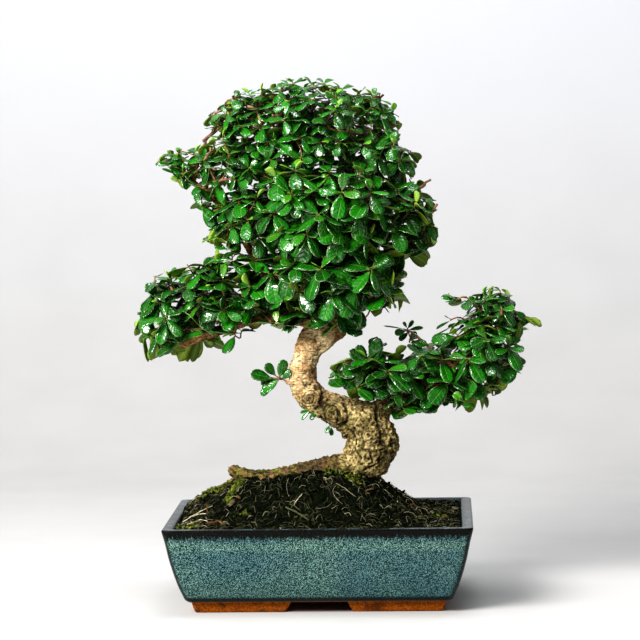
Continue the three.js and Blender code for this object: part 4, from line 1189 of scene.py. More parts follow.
def raise_knots(points, normals, relief, dark):
    """A bulge with uneven rings where a branch was cut, a moat round it and a dark middle; the rings' grooves
    and the moat get painted shade.
    """
    for x, z, side, reach, bulge, rings in KNOTS:
        offset = points - on_wood(x, z, side)
        away = np.linalg.norm(offset * [1, 0.6, 1], axis=1)
        angle = np.arctan2(offset[:, 2], offset[:, 0])
        wave = np.cos(away * 2 * np.pi / RING_WIDTH + 1.0 * angle + 1.6 * noise_at(points, 0.22, 31))
        shape = np.exp(-((away / reach) ** 4)) * (normals[:, 1] * side > -0.2)
        relief += shape * (bulge * np.clip(1 - (away / reach) ** 2, 0, 1) + rings * 0.55 * wave)
        moat = np.exp(-(((away - reach * 1.12) / 1.3) ** 2)) * (noise_at(points, 0.12, x) > -0.1)
        relief -= 0.28 * bulge * moat
        dark += shape * np.clip(-wave, 0, 1) ** 1.5 * 0.75 * (rings + 0.1) + 0.35 * moat * bulge / 2
        dark += np.exp(-((away / 1.3) ** 2)) * 0.8


OLD_BARK = (182, 156)
RING_WIDTH = 2.6


def bark_relief(points, normals):
    """Height, darkness, how much it is trunk and how much it is old and low, for each point. The darkness is
    mostly painted shade in creases, pits, cracks and knot rings.
    """
    on_trunk = smoothstep(6.0, 2.0, trunk_past)
    low = smoothstep(*OLD_BARK, points[:, 2])
    old, root = on_trunk * low, (1 - on_trunk) * low
    # lumps from coarse to fine, stronger on the old bark
    relief = noise_at(points, 0.065) * 1.3 * (0.4 + 0.6 * on_trunk)
    relief = relief + noise_at(points, 0.14, 7) * (0.5 + 0.9 * old)
    relief += noise_at(points, 0.33, 3) * (0.4 + 0.6 * old) + noise_at(points, 0.6, 5) * (0.3 + 0.65 * old)
    # crooked creases, those of the young bark level, then pits and crumbled patches
    wide = creases_at(points, 0.1, 0.05, 41)
    fine = creases_at(points, 0.24, 0.085, 43)
    tiny = creases_at(points * [0.8, 0.8, 2.2], 0.34, 0.12, 47)
    relief -= wide * (0.25 + 0.6 * old) + fine * (0.25 + 0.35 * old) + tiny * (0.55 - 0.25 * old)
    pits = pits_at(points, 0.23)
    relief -= pits * (0.5 + 0.6 * old)
    rough = np.clip(noise_at(points, 0.45, 61) * 2.4 - 0.35, 0, 1)
    relief -= rough * 0.6 * old
    # painted shade: the creases, pits and crumbled patches are darkened as they are pressed in
    dark = (wide * 0.42 * old + fine * (0.16 + 0.24 * old) + tiny * 0.45 + pits * (0.35 + 0.3 * old)
            + rough * (0.15 + 0.55 * old))
    # the surface roots are rougher still
    relief += (noise_at(points, 0.28, 71) * 1.5 + noise_at(points, 0.7, 73) * 0.9) * root
    dark += np.clip(noise_at(points, 0.38, 75) * 2.2 - 0.2, 0, 1) * 0.7 * root
    press_cracks(points, relief, dark)
    raise_knots(points, normals, relief, dark)
    return np.clip(relief, -3.6, 4), np.clip(dark, 0, 1), on_trunk, low


# The trunk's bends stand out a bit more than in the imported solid: height, spread, millimetres to the right
BENDS = [(203, 15, 3.0), (163, 9, -1.6)]
BENDS_LEFT_OF = 40
relief, bark_shade_and_marks, on_trunk, low_trunk = bark_relief(wood_points, wood_normals)
bark_points = wood_points + wood_normals * (relief + 0.3)[:, None]
bend = sum(reach * np.exp(-(((wood_points[:, 2] - z) / spread) ** 2)) for z, spread, reach in BENDS)
bark_points[:, 0] += bend * on_trunk * (wood_points[:, 0] < BENDS_LEFT_OF)
print("bark relief from", round(float(relief.min()), 1), "to", round(float(relief.max()), 1), "mm")

# %% Wood: bark finish
def bark_material():
    material, tree, shader = new_material("tan_bark")
    place = object_place(tree)
    dark, trunk, low = (attribute(tree, key) for key in ("dark", "trunk", "low"))
    patches = mottle(tree, 75.0, 0.38, 0.64)["Mask"]
    grain = mottle(tree, 520.0, 0.36, 0.66)
    # the surface roots are the darkest, partly their own mossy bark and partly painted shade where they lie low
    # by the soil
    upper, lower, limb, root = (mix(tree, patches, *pair) for pair in (
        ("b98f5d", "e6cb9b"), ("7a6833", "c8b276"), ("6b4726", "b38756"), ("33281a", "8a6a44")))
    tone = mix(tree, trunk, mix(tree, low, limb, root), mix(tree, low, upper, lower))
    pale = times(tree, plus(tree, trunk, 0.25), 0.27)
    # the old bark below is stained olive and pitted
    olive = times(tree, mottle(tree, 110.0, 0.48, 0.62)["Mask"], low)
    pitting = mottle(tree, 360.0, 0.52, 0.6)["Mask"]
    pitted = plus(tree, times(tree, low, 0.4), 0.3)
    tone = stained(tree, tone, ("e8d2a6", grain["Mask"], pale), ("5f5c2c", olive, 0.5),
                   ("241f10", pitting, pitted))
    # short level dashes, the pores of young bark: a noise squeezed in height
    dashes = noise_texture(tree, stretched(tree, place, (190.0, 190.0, 1500.0)), 1.0, 1.0)
    dash = times(tree, step(tree, dashes, 0.575, 0.65), minus(tree, 1.0, low))
    orange = mottle(tree, 60.0, 0.6, 0.72)["Mask"]
    moss = use_group(tree, "moss", Top=0.118, Fade=0.012, Amount=0.29)["Mask"]
    moss_tone = mix(tree, grain["Mask"], "2b350e", "7c8132")
    # the dark number is painted shade in the bark's cracks, creases, pits and knot rings, darkened towards near
    # black
    tone = stained(tree, tone, ("4a3a26", dash, 0.75), ("110e04", dark, 0.94), ("97683f", orange, 0.3),
                   (moss_tone, moss, 0.75))
    pores = use_group(tree, "flecks", Scale=420.0, Size=0.12, Softness=0.12)["Mask"]
    height = minus(tree, grain["Height"], times(tree, plus(tree, dash, pores), 0.3))
    finish_shader(tree, shader, Base_Color=tone, Roughness=0.82, Specular_IOR_Level=0.08,
                  Normal=bump(tree, height, 0.9))
    return material


def bark_piece():
    wood_mesh.name = "bark"
    wood_mesh.vertices.foreach_set("co", to_frame(bark_points).ravel())
    wood_mesh.materials.clear()
    wood_mesh.materials.append(bark_material())
    numbers = {"dark": bark_shade_and_marks, "trunk": on_trunk, "low": low_trunk}
    return finish_mesh("trunk_roots_and_limbs", wood_mesh, numbers)


settle(bark_piece(), "bark", "wood")
wood_tree = ray_tree(bark_points)

# %% [markdown]
# Moss also climbs the foot of the trunk and the roots. Tufts are set on the bark itself, low by the soil and
# on the sides of the stub at the left, and join the moss on the soil in one piece.

# %% Moss on the roots and the trunk's foot
def moss_on_bark():
    x, y, z = bark_points.T
    over = z - mound_height(x, y)
    at_foot = (over > 0) & (over < 6.5 + 3 * np.sin(x * 0.35))
    stub = (over > 0) & (x < -56) & (wood_normals[:, 2] < 0.5)
    chance = np.where(stub, 0.05, np.where(at_foot, np.where(x < 0, 0.012, 0.05), 0))
    chosen = np.flatnonzero(random.random(len(x)) < chance)
    for k in chosen:
        at = bark_points[k] - wood_normals[k] * 0.2
        moss_tuft(at, random.uniform(0.4, 0.95), random.uniform(0.15, 0.8))
    return len(chosen)


print("tufts on the bark:", moss_on_bark())
settle(moss_heap.piece("moss", [moss_finish]), "soil", "soil")

# %% [markdown]
# The foliage hangs in clouds. Each cloud is an ellipsoid of shoot tips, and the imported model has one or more
# leafy sprays for each. Here every spray gets many more shoots: tips are thrown at the cloud's shell with a
# least distance between them, so they cover it evenly without rows, and each goes to its nearest spray.

# %% Foliage clouds
GOLDEN_ANGLE = math.pi * (3 - math.sqrt(5))
CLOUDS = [
    # name, middle, half sizes, leaf length, leaf width for its length, how much the leaves hang
    ("top", (-10, 0, 388), (60, 48, 34), 11.5, 0.58, 0.2),
    ("high_left", (-63, -4, 400), (22, 24, 18), 11, 0.55, 0.2),
    ("high_right", (43, 2, 403), (18, 20, 14), 10.5, 0.55, 0.2),
    ("top_left", (-58, -4, 362), (40, 36, 26), 11.5, 0.56, 0.25),
    ("left_tip", (-115, -4, 361), (15, 13, 11), 11, 0.52, 0.2),
    ("top_right", (48, 4, 369), (32, 38, 28), 12, 0.58, 0.25),
    ("mid_left", (-52, -6, 318), (32, 36, 28), 14.5, 0.58, 0.4),
    ("mid_right", (61, 0, 321), (29, 36, 30), 16, 0.6, 0.4),
    ("front", (6, -38, 325), (50, 32, 40), 17, 0.6, 0.45),
    ("back", (6, 42, 325), (55, 34, 44), 15, 0.58, 0.4),
    ("low_front", (12, -34, 275), (50, 30, 34), 18.5, 0.62, 0.55),
    ("low_back", (10, 36, 278), (50, 30, 32), 17, 0.6, 0.5),
    ("low_right", (44, -4, 263), (25, 30, 25), 18.5, 0.62, 0.55),
    ("low_left", (-40, -4, 264), (28, 28, 24), 17, 0.6, 0.5),
    ("left_inner", (-78, -8, 252), (34, 28, 23), 17, 0.52, 0.5),
    ("left_outer", (-118, -6, 232), (31, 28, 29), 18.5, 0.43, 0.7),
    ("right_inner", (48, -12, 187), (33, 24, 20), 17.5, 0.62, 0.45),
    ("right_shoot", (74, -4, 223), (12, 12, 7), 11, 0.5, 0.2),
    ("right_middle", (92, 4, 186), (26, 26, 24), 15.5, 0.62, 0.5),
    ("right_outer", (136, 0, 205), (34, 30, 31), 15, 0.62, 0.5),
    ("right_top", (145, 0, 243), (24, 18, 12), 12.5, 0.55, 0.25),
    ("sprig", (-38, -8, 188), (12, 10, 10), 14, 0.58, 0.4),
]
# Small tufts that stand out of the clouds in the photograph, each carried by the nearest spray
TUFTS = [
    ("tuft_left_high", (-98, -4, 356), (17, 14, 18), 12, 0.55, 0.3),
    ("tuft_left_side", (-89, -4, 326), (12, 14, 14), 13, 0.55, 0.3),
    ("tuft_left_sprig", (-88, -6, 300), (9, 8, 5), 12, 0.5, 0.2),
    ("tuft_pad_outer", (-124, -8, 258), (26, 22, 12), 17, 0.5, 0.3),
    ("tuft_pad_inner", (-92, -8, 269), (26, 22, 12), 17, 0.52, 0.3),
    ("tuft_pad_top", (-70, -8, 284), (14, 14, 10), 15, 0.52, 0.3),
    ("tuft_pad_below", (-74, -10, 221), (18, 14, 6), 16, 0.6, 0.5),
    ("tuft_crown_below", (-33, -12, 229), (20, 14, 6), 16, 0.6, 0.5),
    ("tuft_over_trunk", (31, -12, 229), (12, 12, 8), 18, 0.62, 0.5),
    ("tuft_right_low", (80, 0, 291), (18, 18, 10), 17, 0.6, 0.4),
    ("tuft_right_side", (92, 0, 314), (10, 12, 12), 15, 0.58, 0.3),
    ("tuft_branch_low", (78, -4, 163), (24, 20, 11), 16, 0.62, 0.5),
    ("tuft_branch_end", (122, -2, 172), (25, 22, 11), 15, 0.62, 0.5),
    ("tuft_branch_sprig", (111, 0, 247), (8, 7, 6), 12, 0.5, 0.1),
    ("tuft_far_right", (168, 0, 233), (9, 8, 5), 13, 0.5, 0.1),
    ("tuft_neck", (2, -26, 243), (26, 10, 10), 18, 0.62, 0.5),
    ("tuft_by_trunk", (17, -12, 188), (10, 12, 12), 17, 0.62, 0.4),
]
PLACES = CLOUDS + TUFTS
MIDDLES = np.array([c[1] for c in PLACES], float)
HALVES = np.array([c[2] for c in PLACES], float)


def levels(point):
    """How far out a point lies in each cloud: 0 in its middle, 1 on its shell."""
    return np.linalg.norm((point - MIDDLES) / HALVES, axis=1)


def hidden(number, point, level, among=len(PLACES)):
    """True where another cloud covers the point deeper than the level."""
    others = levels(point)[:among]
    if number < among:
        others = np.delete(others, number)
    return bool(np.any(others < level))


ROUND_CLOUD, TRIES = 20, 90
LOWEST_TARGET = -0.4


def spray_targets():
    """The middle of every packed spray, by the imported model's own rule."""
    placed = []
    for number, (_, middle, half, *_) in enumerate(CLOUDS):
        middle, half = np.array(middle, float), np.array(half, float)
        if half[0] < ROUND_CLOUD:
            placed.append((number, middle + [0, 0, 0.3 * half[2]]))
            continue
        spacing = 53.5 * min(1, 0.55 + half[0] / 100)
        for i in range(TRIES):
            z = 1 - 2 * (i + 0.5) / TRIES
            level = math.sqrt(1 - z * z)
            angle = i * GOLDEN_ANGLE
            target = middle + half * [level * math.cos(angle), level * math.sin(angle), z]
            if z < LOWEST_TARGET or hidden(number, target, 0.93, len(CLOUDS)):
                continue
            if all(np.linalg.norm(target - other) >= spacing for _, other in placed):
                placed.append((number, target))
    return placed


sprays = spray_targets()
spray_names = ["spray_%02d_%s" % (i + 1, CLOUDS[number][0]) for i, (number, _) in enumerate(sprays)]
with_node = sum(name in frame["nodes"] for name in spray_names)
print("sprays that have a packed node:", with_node, "of", len(sprays))

# %% The outline in the photograph
# Points in millimetres in an upright plane through the pot's middle, as the camera sees them: the crown with
# the left branch, the right branch, and the small sprig on the trunk.
OUTLINES = [
    [(-135, 365), (-124, 373), (-109, 380), (-96, 375), (-93, 389), (-96, 396), (-85, 407), (-71, 413),
     (-63, 423), (-44, 426), (-35, 432), (-12, 434), (12, 431), (25, 425), (47, 427), (55, 417), (68, 408),
     (69, 397), (66, 374), (80, 370), (88, 364), (82, 356), (96, 351), (91, 341), (100, 327), (96, 311),
     (100, 298), (90, 288), (93, 278), (76, 277), (70, 264), (75, 247), (74, 232), (69, 233), (61, 244),
     (54, 244), (52, 234), (47, 233), (40, 238), (38, 244), (34, 240), (32, 231), (35, 220), (29, 215),
     (20, 222), (-1, 223), (-15, 230), (-29, 226), (-40, 221), (-47, 228), (-64, 222), (-65, 213),
     (-80, 209), (-96, 211), (-100, 200), (-119, 194), (-128, 203), (-144, 197), (-150, 207), (-160, 210),
     (-152, 225), (-156, 238), (-144, 256), (-142, 265), (-124, 276), (-97, 281), (-85, 290), (-77, 293),
     (-100, 297), (-85, 305), (-97, 320), (-99, 330), (-110, 329), (-100, 338), (-119, 350), (-129, 359)],
    [(5, 184), (14, 197), (26, 205), (36, 210), (41, 218), (52, 218), (64, 210), (60, 222), (67, 229),
     (82, 227), (88, 220), (84, 213), (94, 216), (98, 227), (112, 232), (119, 239), (101, 247), (99, 253),
     (115, 251), (125, 247), (133, 258), (150, 258), (159, 254), (157, 246), (166, 236), (185, 230),
     (184, 224), (167, 223), (166, 212), (169, 200), (166, 184), (159, 179), (149, 176), (140, 158),
     (129, 165), (121, 154), (104, 163), (89, 154), (76, 155), (68, 144), (56, 155), (54, 168), (38, 165),
     (27, 173), (15, 175)],
    [(-57, 190), (-47, 198), (-38, 194), (-29, 200), (-21, 194), (-23, 182), (-31, 176), (-41, 171),
     (-53, 179)],
]
OUTLINE_SLACK = 0.5
# The left branch shows bare between these two places; only what hangs below it may cross
BARE_FROM, BARE_TO, BARE_REACH = np.array([-124.0, 206.0]), np.array([-50.0, 227.0]), 4.0


def as_seen(point):
    """Where the camera sees a point against the plane y = 0."""
    eye = np.array(CAMERA_AT)
    share = eye[1] / (eye[1] - point[1])
    seen = eye + (point - eye) * share
    return seen[0], seen[2]


def inside(x, z, ring):
    """Crossing count: a point is inside if a level line from it crosses the ring an odd number of times."""
    a = np.array(ring)
    b = np.roll(a, -1, axis=0)
    crosses = (a[:, 1] > z) != (b[:, 1] > z)
    at = a[:, 0] + (z - a[:, 1]) / np.where(crosses, b[:, 1] - a[:, 1], 1) * (b[:, 0] - a[:, 0])
    return bool(np.sum(crosses & (at > x)) % 2)


def in_outline(point):
    x, z = as_seen(point)
    near = [(0, 0), (OUTLINE_SLACK, 0), (-OUTLINE_SLACK, 0), (0, OUTLINE_SLACK), (0, -OUTLINE_SLACK)]
    return any(inside(x + dx, z + dz, ring) for ring in OUTLINES for dx, dz in near)


def over_bare_branch(point):
    """True where the camera would see the point in front of the bare stretch of the left branch."""
    seen = np.array(as_seen(point))
    share = np.clip(np.dot(seen - BARE_FROM, BARE_TO - BARE_FROM) / np.sum((BARE_TO - BARE_FROM) ** 2), 0, 1)
    return point[1] < 0 and np.linalg.norm(seen - BARE_FROM - share * (BARE_TO - BARE_FROM)) < BARE_REACH


print("is the crown's middle inside:", in_outline(np.array([0.0, 0.0, 330.0])))

# %% Shoot tips
random = np.random.default_rng(2024)
LEAF_SCALE = 1.33
LOWEST_FACING, LOWEST_TIP = -0.62, 150
CROWN_LIFT = 3.5
PLACED_BY_HAND = ("sprig", "right_shoot")
# For tips on a cloud's shell and for those inside it: throws, spacing, levels, and how deep may be hidden
SHELL = (900, 1.14, (0.84, 1.1), 0.86)
INSIDE = (250, 1.08, (0.3, 0.7), 0.55)


def throw_tips(number, tips, inner):
    """Tips on one cloud's shell, or inside it, no closer than the spacing to any tip so far."""
    throws, share, between, depth = INSIDE if inner else SHELL
    _, middle, half, leaf, *_ = PLACES[number]
    middle, half = np.array(middle, float), np.array(half, float)
    spacing = (0.7 * leaf + 4.5) * share
    for _ in range(throws):
        facing = unit(random.normal(size=3))
        at = middle + half * facing * random.uniform(*between)
        at[2] += CROWN_LIFT * float(smoothstep(385, 415, at[2]))
        if facing[2] < LOWEST_FACING or at[2] < LOWEST_TIP or hidden(number, at, depth):
            continue
        if any(math.dist(at, other) < spacing for _, other, other_inner in tips if other_inner or not inner):
            continue
        if in_outline(at):
            tips.append((number, at, inner))


tips = []
for inner in (False, True):
    for number in range(len(PLACES)):
        if PLACES[number][0] not in PLACED_BY_HAND:
            throw_tips(number, tips, inner)
print("shoot tips:", len(tips), "of which inside:", sum(t[2] for t in tips))

# %% [markdown]
# Each tip belongs to the nearest spray of its cloud. A spray's twigs start where its packed stem meets the
# wood. Tips are joined one by one, nearest first, to the closest point of what has grown so far, as real
# twigs divide, and a twig gets thicker with the number of shoots it feeds.

# %% Twigs
def spray_seat(name):
    """Where the spray's stem meets the wood."""
    found = [wood_tree.find_nearest(Vector(p)) for p in node_points(frame["nodes"][name].data.vertices)]
    return np.array(min(found, key=lambda f: f[3])[0])


def outward(number, point):
    """The way out of a cloud at a point, square to the ellipsoid through it."""
    return unit((point - MIDDLES[number]) / HALVES[number] ** 2)


TWIG_STEP, TWIG_PULL, TWIG_WANDER = 4.5, 0.38, 0.35
# how much a start that turns back, or lies far from the stem, counts as further away
BACK_COST, REACH_COST = 0.35, 0.25


class Twigs:
    """Points that know their parent, so that thickness can flow down to the stem."""

    def __init__(self, seat, way):
        self.at = [seat - way * 1.5, seat]
        self.parent = [-1, 0]
        self.way = [way, way]
        self.load = [0, 0]
        self.reach = [0.0, 0.0]
        self.runs = []

    def grow(self, tip, axis):
        """A curved run from the best place so far to the tip, which it reaches along the axis."""
        here = np.array(self.at[1:])
        away = np.linalg.norm(here - tip, axis=1)
        back = 1 - np.sum(unit(tip - here) * np.array(self.way[1:]), axis=1)
        start = 1 + int(np.argmin(away * (1 + BACK_COST * back) + REACH_COST * np.array(self.reach[1:])))
        length = np.linalg.norm(tip - self.at[start])
        count = max(3, int(length / TWIG_STEP) + 2)
        t = np.linspace(0, 1, count)[:, None]
        pull = TWIG_PULL * length
        a, b = self.at[start], self.at[start] + self.way[start] * pull * 0.8
        c, d = tip - axis * pull, tip
        path = (1 - t) ** 3 * a + 3 * (1 - t) ** 2 * t * b + 3 * (1 - t) * t**2 * c + t**3 * d
        path[1:-1] += random.normal(size=(count - 2, 3)) * TWIG_WANDER
        run = [start]
        for k in range(1, count):
            self.at.append(path[k])
            self.parent.append(run[-1])
            self.way.append(unit(path[k] - path[k - 1]))
            self.load.append(0)
            self.reach.append(self.reach[run[-1]] + np.linalg.norm(path[k] - path[k - 1]))
            run.append(len(self.at) - 1)
        self.runs.append(run)
        k = run[-1]
        while k >= 0:
            self.load[k] += 1
            k = self.parent[k]
        return path

    def radius(self, k):
        return twig_radius(self.load[k])


def twig_radius(shoots):
    return min(1.55, 0.34 + 0.26 * math.sqrt(shoots))


print("a twig with 9 shoots is", round(2 * twig_radius(9), 2), "mm thick")

# %% [markdown]
# A leaf is spoon-shaped: a narrow wedge at its base, widest past the middle, with small teeth at its blunt
# tip. One grid of points makes every leaf, bent by numbers: how it curls along, folds across and twists. Top
# and underside meet at the rim, so each leaf is a thin closed solid.

# %% Leaf form
class LeafForm:
    """A grid over one leaf and its faces. The top and the underside share the rim's points."""

    def __init__(self, along, halves, across, teeth):
        rows, columns = len(along), len(across)
        self.t = np.repeat(np.array(along, float)[:, None], columns, axis=1)
        self.t[-1] += teeth
        self.s = np.repeat(np.array(across, float)[None], rows, axis=0)
        self.half = np.repeat(np.array(halves, float)[:, None], columns, axis=1)
        ends = (np.arange(rows)[:, None] == rows - 1) | (np.arange(rows)[:, None] == 0)
        self.rim = (np.abs(self.s) > 0.99) | ends
        top = np.arange(rows * columns).reshape(rows, columns)
        under = top.copy()
        under[~self.rim] = rows * columns + np.arange((~self.rim).sum())
        upper, lower = [], []
        for r in range(rows - 1):
            for c in range(columns - 1):
                upper.append([top[r, c], top[r, c + 1], top[r + 1, c + 1], top[r + 1, c]])
                lower.append([under[r, c], under[r + 1, c], under[r + 1, c + 1], under[r, c + 1]])
        self.faces = upper + lower
        self.face_material = [1] * len(upper) + [2] * len(lower)
        self.along = np.concatenate([self.t.ravel(), self.t[~self.rim]])
        self.across = np.concatenate([self.s.ravel(), self.s[~self.rim]])


# places along the leaf, its half width there, places across it, and how far the tip's edge is toothed there
OUTER_LEAF = LeafForm([0.0, 0.12, 0.3, 0.5, 0.7, 0.85, 0.95, 1.0],
                      [0.07, 0.22, 0.62, 0.92, 1.0, 0.86, 0.56, 0.22],
                      [-1.0, -0.55, 0.0, 0.55, 1.0], [-0.03, -0.01, 0.012, -0.012, -0.03])
INNER_LEAF = LeafForm([0.0, 0.28, 0.6, 0.86, 1.0], [0.08, 0.56, 1.0, 0.84, 0.25],
                      [-1.0, 0.0, 1.0], [-0.03, 0.01, -0.03])
LEAF_THICK = 0.42


def leaf_points(form, base, along, face, length, width, curl, fold, twist, wave):
    """All points of one leaf. Curl bends it down along its length, fold lifts its sides."""
    t, s = form.t, form.s
    side = np.cross(along, face)
    bend = curl * t
    forward = length * t * (1 - bend**2 / 6)
    drop = -length * t * bend / 2
    spin = twist * t
    w = 0.5 * width * form.half * s
    lift = fold * np.abs(w) ** 1.3 / max(0.5 * width, 1e-3) ** 0.3
    lift = lift + wave * width * np.sin(7 * t + 2.5 * np.sign(s)) * s**2
    out = w * np.cos(spin) - lift * np.sin(spin)
    up = w * np.sin(spin) + lift * np.cos(spin) + drop
    middle = base + forward[..., None] * along + out[..., None] * side + up[..., None] * face
    ahead = along * np.cos(bend)[..., None] - face * np.sin(bend)[..., None]
    normal = unit(np.cross(side + 0 * ahead, ahead))
    thick = 0.5 * LEAF_THICK * np.sqrt(np.maximum(0, 1 - s**2)) * (1 - form.rim)
    top = middle + normal * thick[..., None]
    under = middle - normal * thick[..., None]
    return np.concatenate([top.reshape(-1, 3), under[~form.rim]])


print("triangles in an outer and an inner leaf:", 2 * len(OUTER_LEAF.faces), 2 * len(INNER_LEAF.faces))

# %% [markdown]
# Leaves stand in a rosette at each shoot tip: old large ones outside, leaning far out and hanging a little,
# and small young ones upright in the middle. Each turns by the golden angle from the last, as real leaves do.
# A leaf that would run into wood, leave the photograph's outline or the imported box, or lie in another leaf is
# tried again, then left out.

# %% Rosettes of leaves
BOX_SLACK = 1.5
BOX_LOW, BOX_HIGH = from_frame(cad_box[0]) - BOX_SLACK, from_frame(cad_box[1]) + BOX_SLACK
CELL = 6.0
LEVELLING = 0.74
# where a leaf is widest, as a share of its length, and how near another leaf's widest place may be
WIDEST, LEAST_APART = 0.6, 0.2
taken = {}


def cell_of(point):
    return tuple((point // CELL).astype(int))


def crowded(point, least):
    """True where another leaf's widest place is closer than the least distance."""
    cx, cy, cz = cell_of(point)
    around = [(cx + dx, cy + dy, cz + dz) for dx in (-1, 0, 1) for dy in (-1, 0, 1) for dz in (-1, 0, 1)]
    return any(np.linalg.norm(other - point) < least for cell in around for other in taken.get(cell, ()))


def leaf_fits(base, along, length):
    end, middle = base + along * length, base + along * length * WIDEST
    if np.any(end < BOX_LOW) or np.any(end > BOX_HIGH):
        return False
    if over_bare_branch(end) or over_bare_branch(middle) or not in_outline(end) or not in_outline(middle):
        return False
    if wood_tree.ray_cast(Vector(base + along), Vector(along), length)[0] is not None:
        return False
    return not crowded(middle, LEAST_APART * length)


def square_to(along, face):
    """The face's direction made square to the leaf's own."""
    return unit(face - along * np.dot(face, along))


def store_leaf(heap, form, points, **values):
    heap.add(points, form.faces, 0, along=form.along, across=form.across, **values)
    heap.face_material[-len(form.faces):] = form.face_material


def add_leaf(heap, form, base, along, face, length, wide, young):
    along = unit(along)
    face = square_to(along, face)
    if not leaf_fits(base, along, length):
        return False
    middle = base + along * length * WIDEST
    taken.setdefault(cell_of(middle), []).append(middle)
    curl = random.uniform(0.1, 0.65) * (1 - 1.2 * young)
    fold = random.uniform(-0.22, 0.3) + 0.45 * young
    width = length * wide * random.uniform(0.88, 1.12)
    twist, wave = random.uniform(-0.45, 0.45), random.uniform(-0.05, 0.05)
    points = leaf_points(form, base, along, face, length, width, curl, fold, twist, wave)
    store_leaf(heap, form, points, young=young, tone=random.random())
    return True


# Leaves that stand alone in the photograph, so that each shows: x and z of the foot and the tip, y, width.
# They are the sprig and the young shoots on the trunk, and the loose ends of the right branch.
PLACED_LEAVES = {
    "spray_39_sprig": [
        (-38, 184.5, -55.5, 189.5, -14, 11.5), (-32.5, 185, -28, 200, -13, 10.5),
        (-33, 183.5, -46.5, 174.5, -13, 10), (-37, 180.5, -48.5, 171.5, -10, 6.5),
        (-34, 184.5, -48, 180.5, -9, 9), (-31, 183, -24, 191, -5, 8), (-36, 186, -44, 196, -4, 8.5),
        (-7, 158, -15.5, 150.5, -6, 3.6), (-2, 158.5, -8, 150, -7, 5), (-9, 157, -16, 156, -4, 3.2),
        (8, 144.5, 5.0, 138.5, -5, 4), (9, 143, 9.5, 136, -2, 4)],
    "spray_34_right_shoot": [
        (69.5, 223.6, 54, 227.9, -4, 3), (72, 222.1, 62.9, 220.5, -6, 6.5), (73.6, 222.7, 86, 225.1, -4, 5),
        (74.3, 214.3, 80.1, 221, -2, 5.5), (75.1, 212.1, 89.1, 212.7, -5, 7.5),
        (72.8, 224.4, 70.4, 229.5, -4, 3), (73, 223, 78, 230, 4, 4), (74, 220, 66, 214, 6, 6),
        (76, 214, 84, 206, 6, 8)],
    "spray_33_right_inner": [
        (45.7, 192.7, 47.7, 218.9, -24, 12.5), (44.2, 194.5, 26.4, 208.6, -26, 10.5),
        (39, 191.4, 32.8, 212, -18, 10)],
    "spray_37_right_outer": [
        (115, 247, 101.9, 251.2, -4, 5.5), (108.2, 229.8, 96.6, 224.1, -4, 3.5),
        (108.2, 231.4, 104.2, 234.7, -4, 3.5), (113, 216.8, 92.5, 216.2, -8, 11),
        (131.3, 241.8, 138.8, 255.7, -4, 5.5), (132.9, 242.6, 124.8, 250.1, -4, 5)],
}
TRUNK_SHOOTS_BELOW = 165
# Twigs cut back to a stump, without leaves: the end, and the way it points
CUT_TWIGS = [
    ((64, -2, 400), (1.0, -0.1, 0.2)), ((68, 0, 391), (1.0, -0.1, 0.1)), ((94, -6, 346), (0.9, -0.1, 0.4)),
    ((56, -2, 416), (0.2, -0.2, 0.9)), ((13, -14, 421), (0.4, -0.2, 0.9)),
    ((-33, -42, 401), (0.3, -0.2, 0.9)), ((-54, -28, 408), (0.0, -0.1, 1.0)),
    ((-85, -22, 375), (-0.8, -0.2, 0.6)), ((99, -6, 326), (1.0, -0.2, 0.0)),
    ((-83, -8, 310), (-0.2, -0.2, 1.0)), ((-20, -44, 403), (0.4, -0.3, 0.9)),
    ((30, 46, 392), (0.3, 0.6, 0.7)), ((-30, 40, 400), (-0.2, 0.5, 0.9)),
    ((150, -20, 235), (0.4, -0.5, 0.6)), ((-120, -20, 262), (-0.5, -0.3, 0.6)),
]


def placed_leaf(heap, foot, tip, width):
    along = unit(tip - foot)
    face = square_to(along, unit(np.array([0.0, -0.75, 0.6]) + random.normal(size=3) * 0.15))
    curl, fold, twist = random.uniform(0.1, 0.4), random.uniform(-0.1, 0.25), random.uniform(-0.3, 0.3)
    length = np.linalg.norm(tip - foot)
    points = leaf_points(OUTER_LEAF, foot, along, face, length, width, curl, fold, twist, 0.03)
    store_leaf(heap, OUTER_LEAF, points, tone=random.random())


def placed_leaves(heap, twigs, name):
    """The spray's leaves from the list, each on a short twig of its own, but for those right on the trunk."""
    places = PLACED_LEAVES.get(name, [])
    for foot_x, foot_z, tip_x, tip_z, y, width in places:
        foot, tip = np.array([foot_x, y + 1.5, foot_z]), np.array([tip_x, y - 1.5, tip_z])
        if foot_z > TRUNK_SHOOTS_BELOW:
            twigs.grow(foot, unit(np.array([tip_x - foot_x, -2.0, tip_z - foot_z])))
        placed_leaf(heap, foot, tip, width)
    return len(places)


def around_axis(axis, angle):
    """The direction at an angle round the axis, square to it."""
    first = unit(np.cross(axis, [0.37, 0.21, 0.9]))
    return math.cos(angle) * first + math.sin(angle) * np.cross(axis, first)


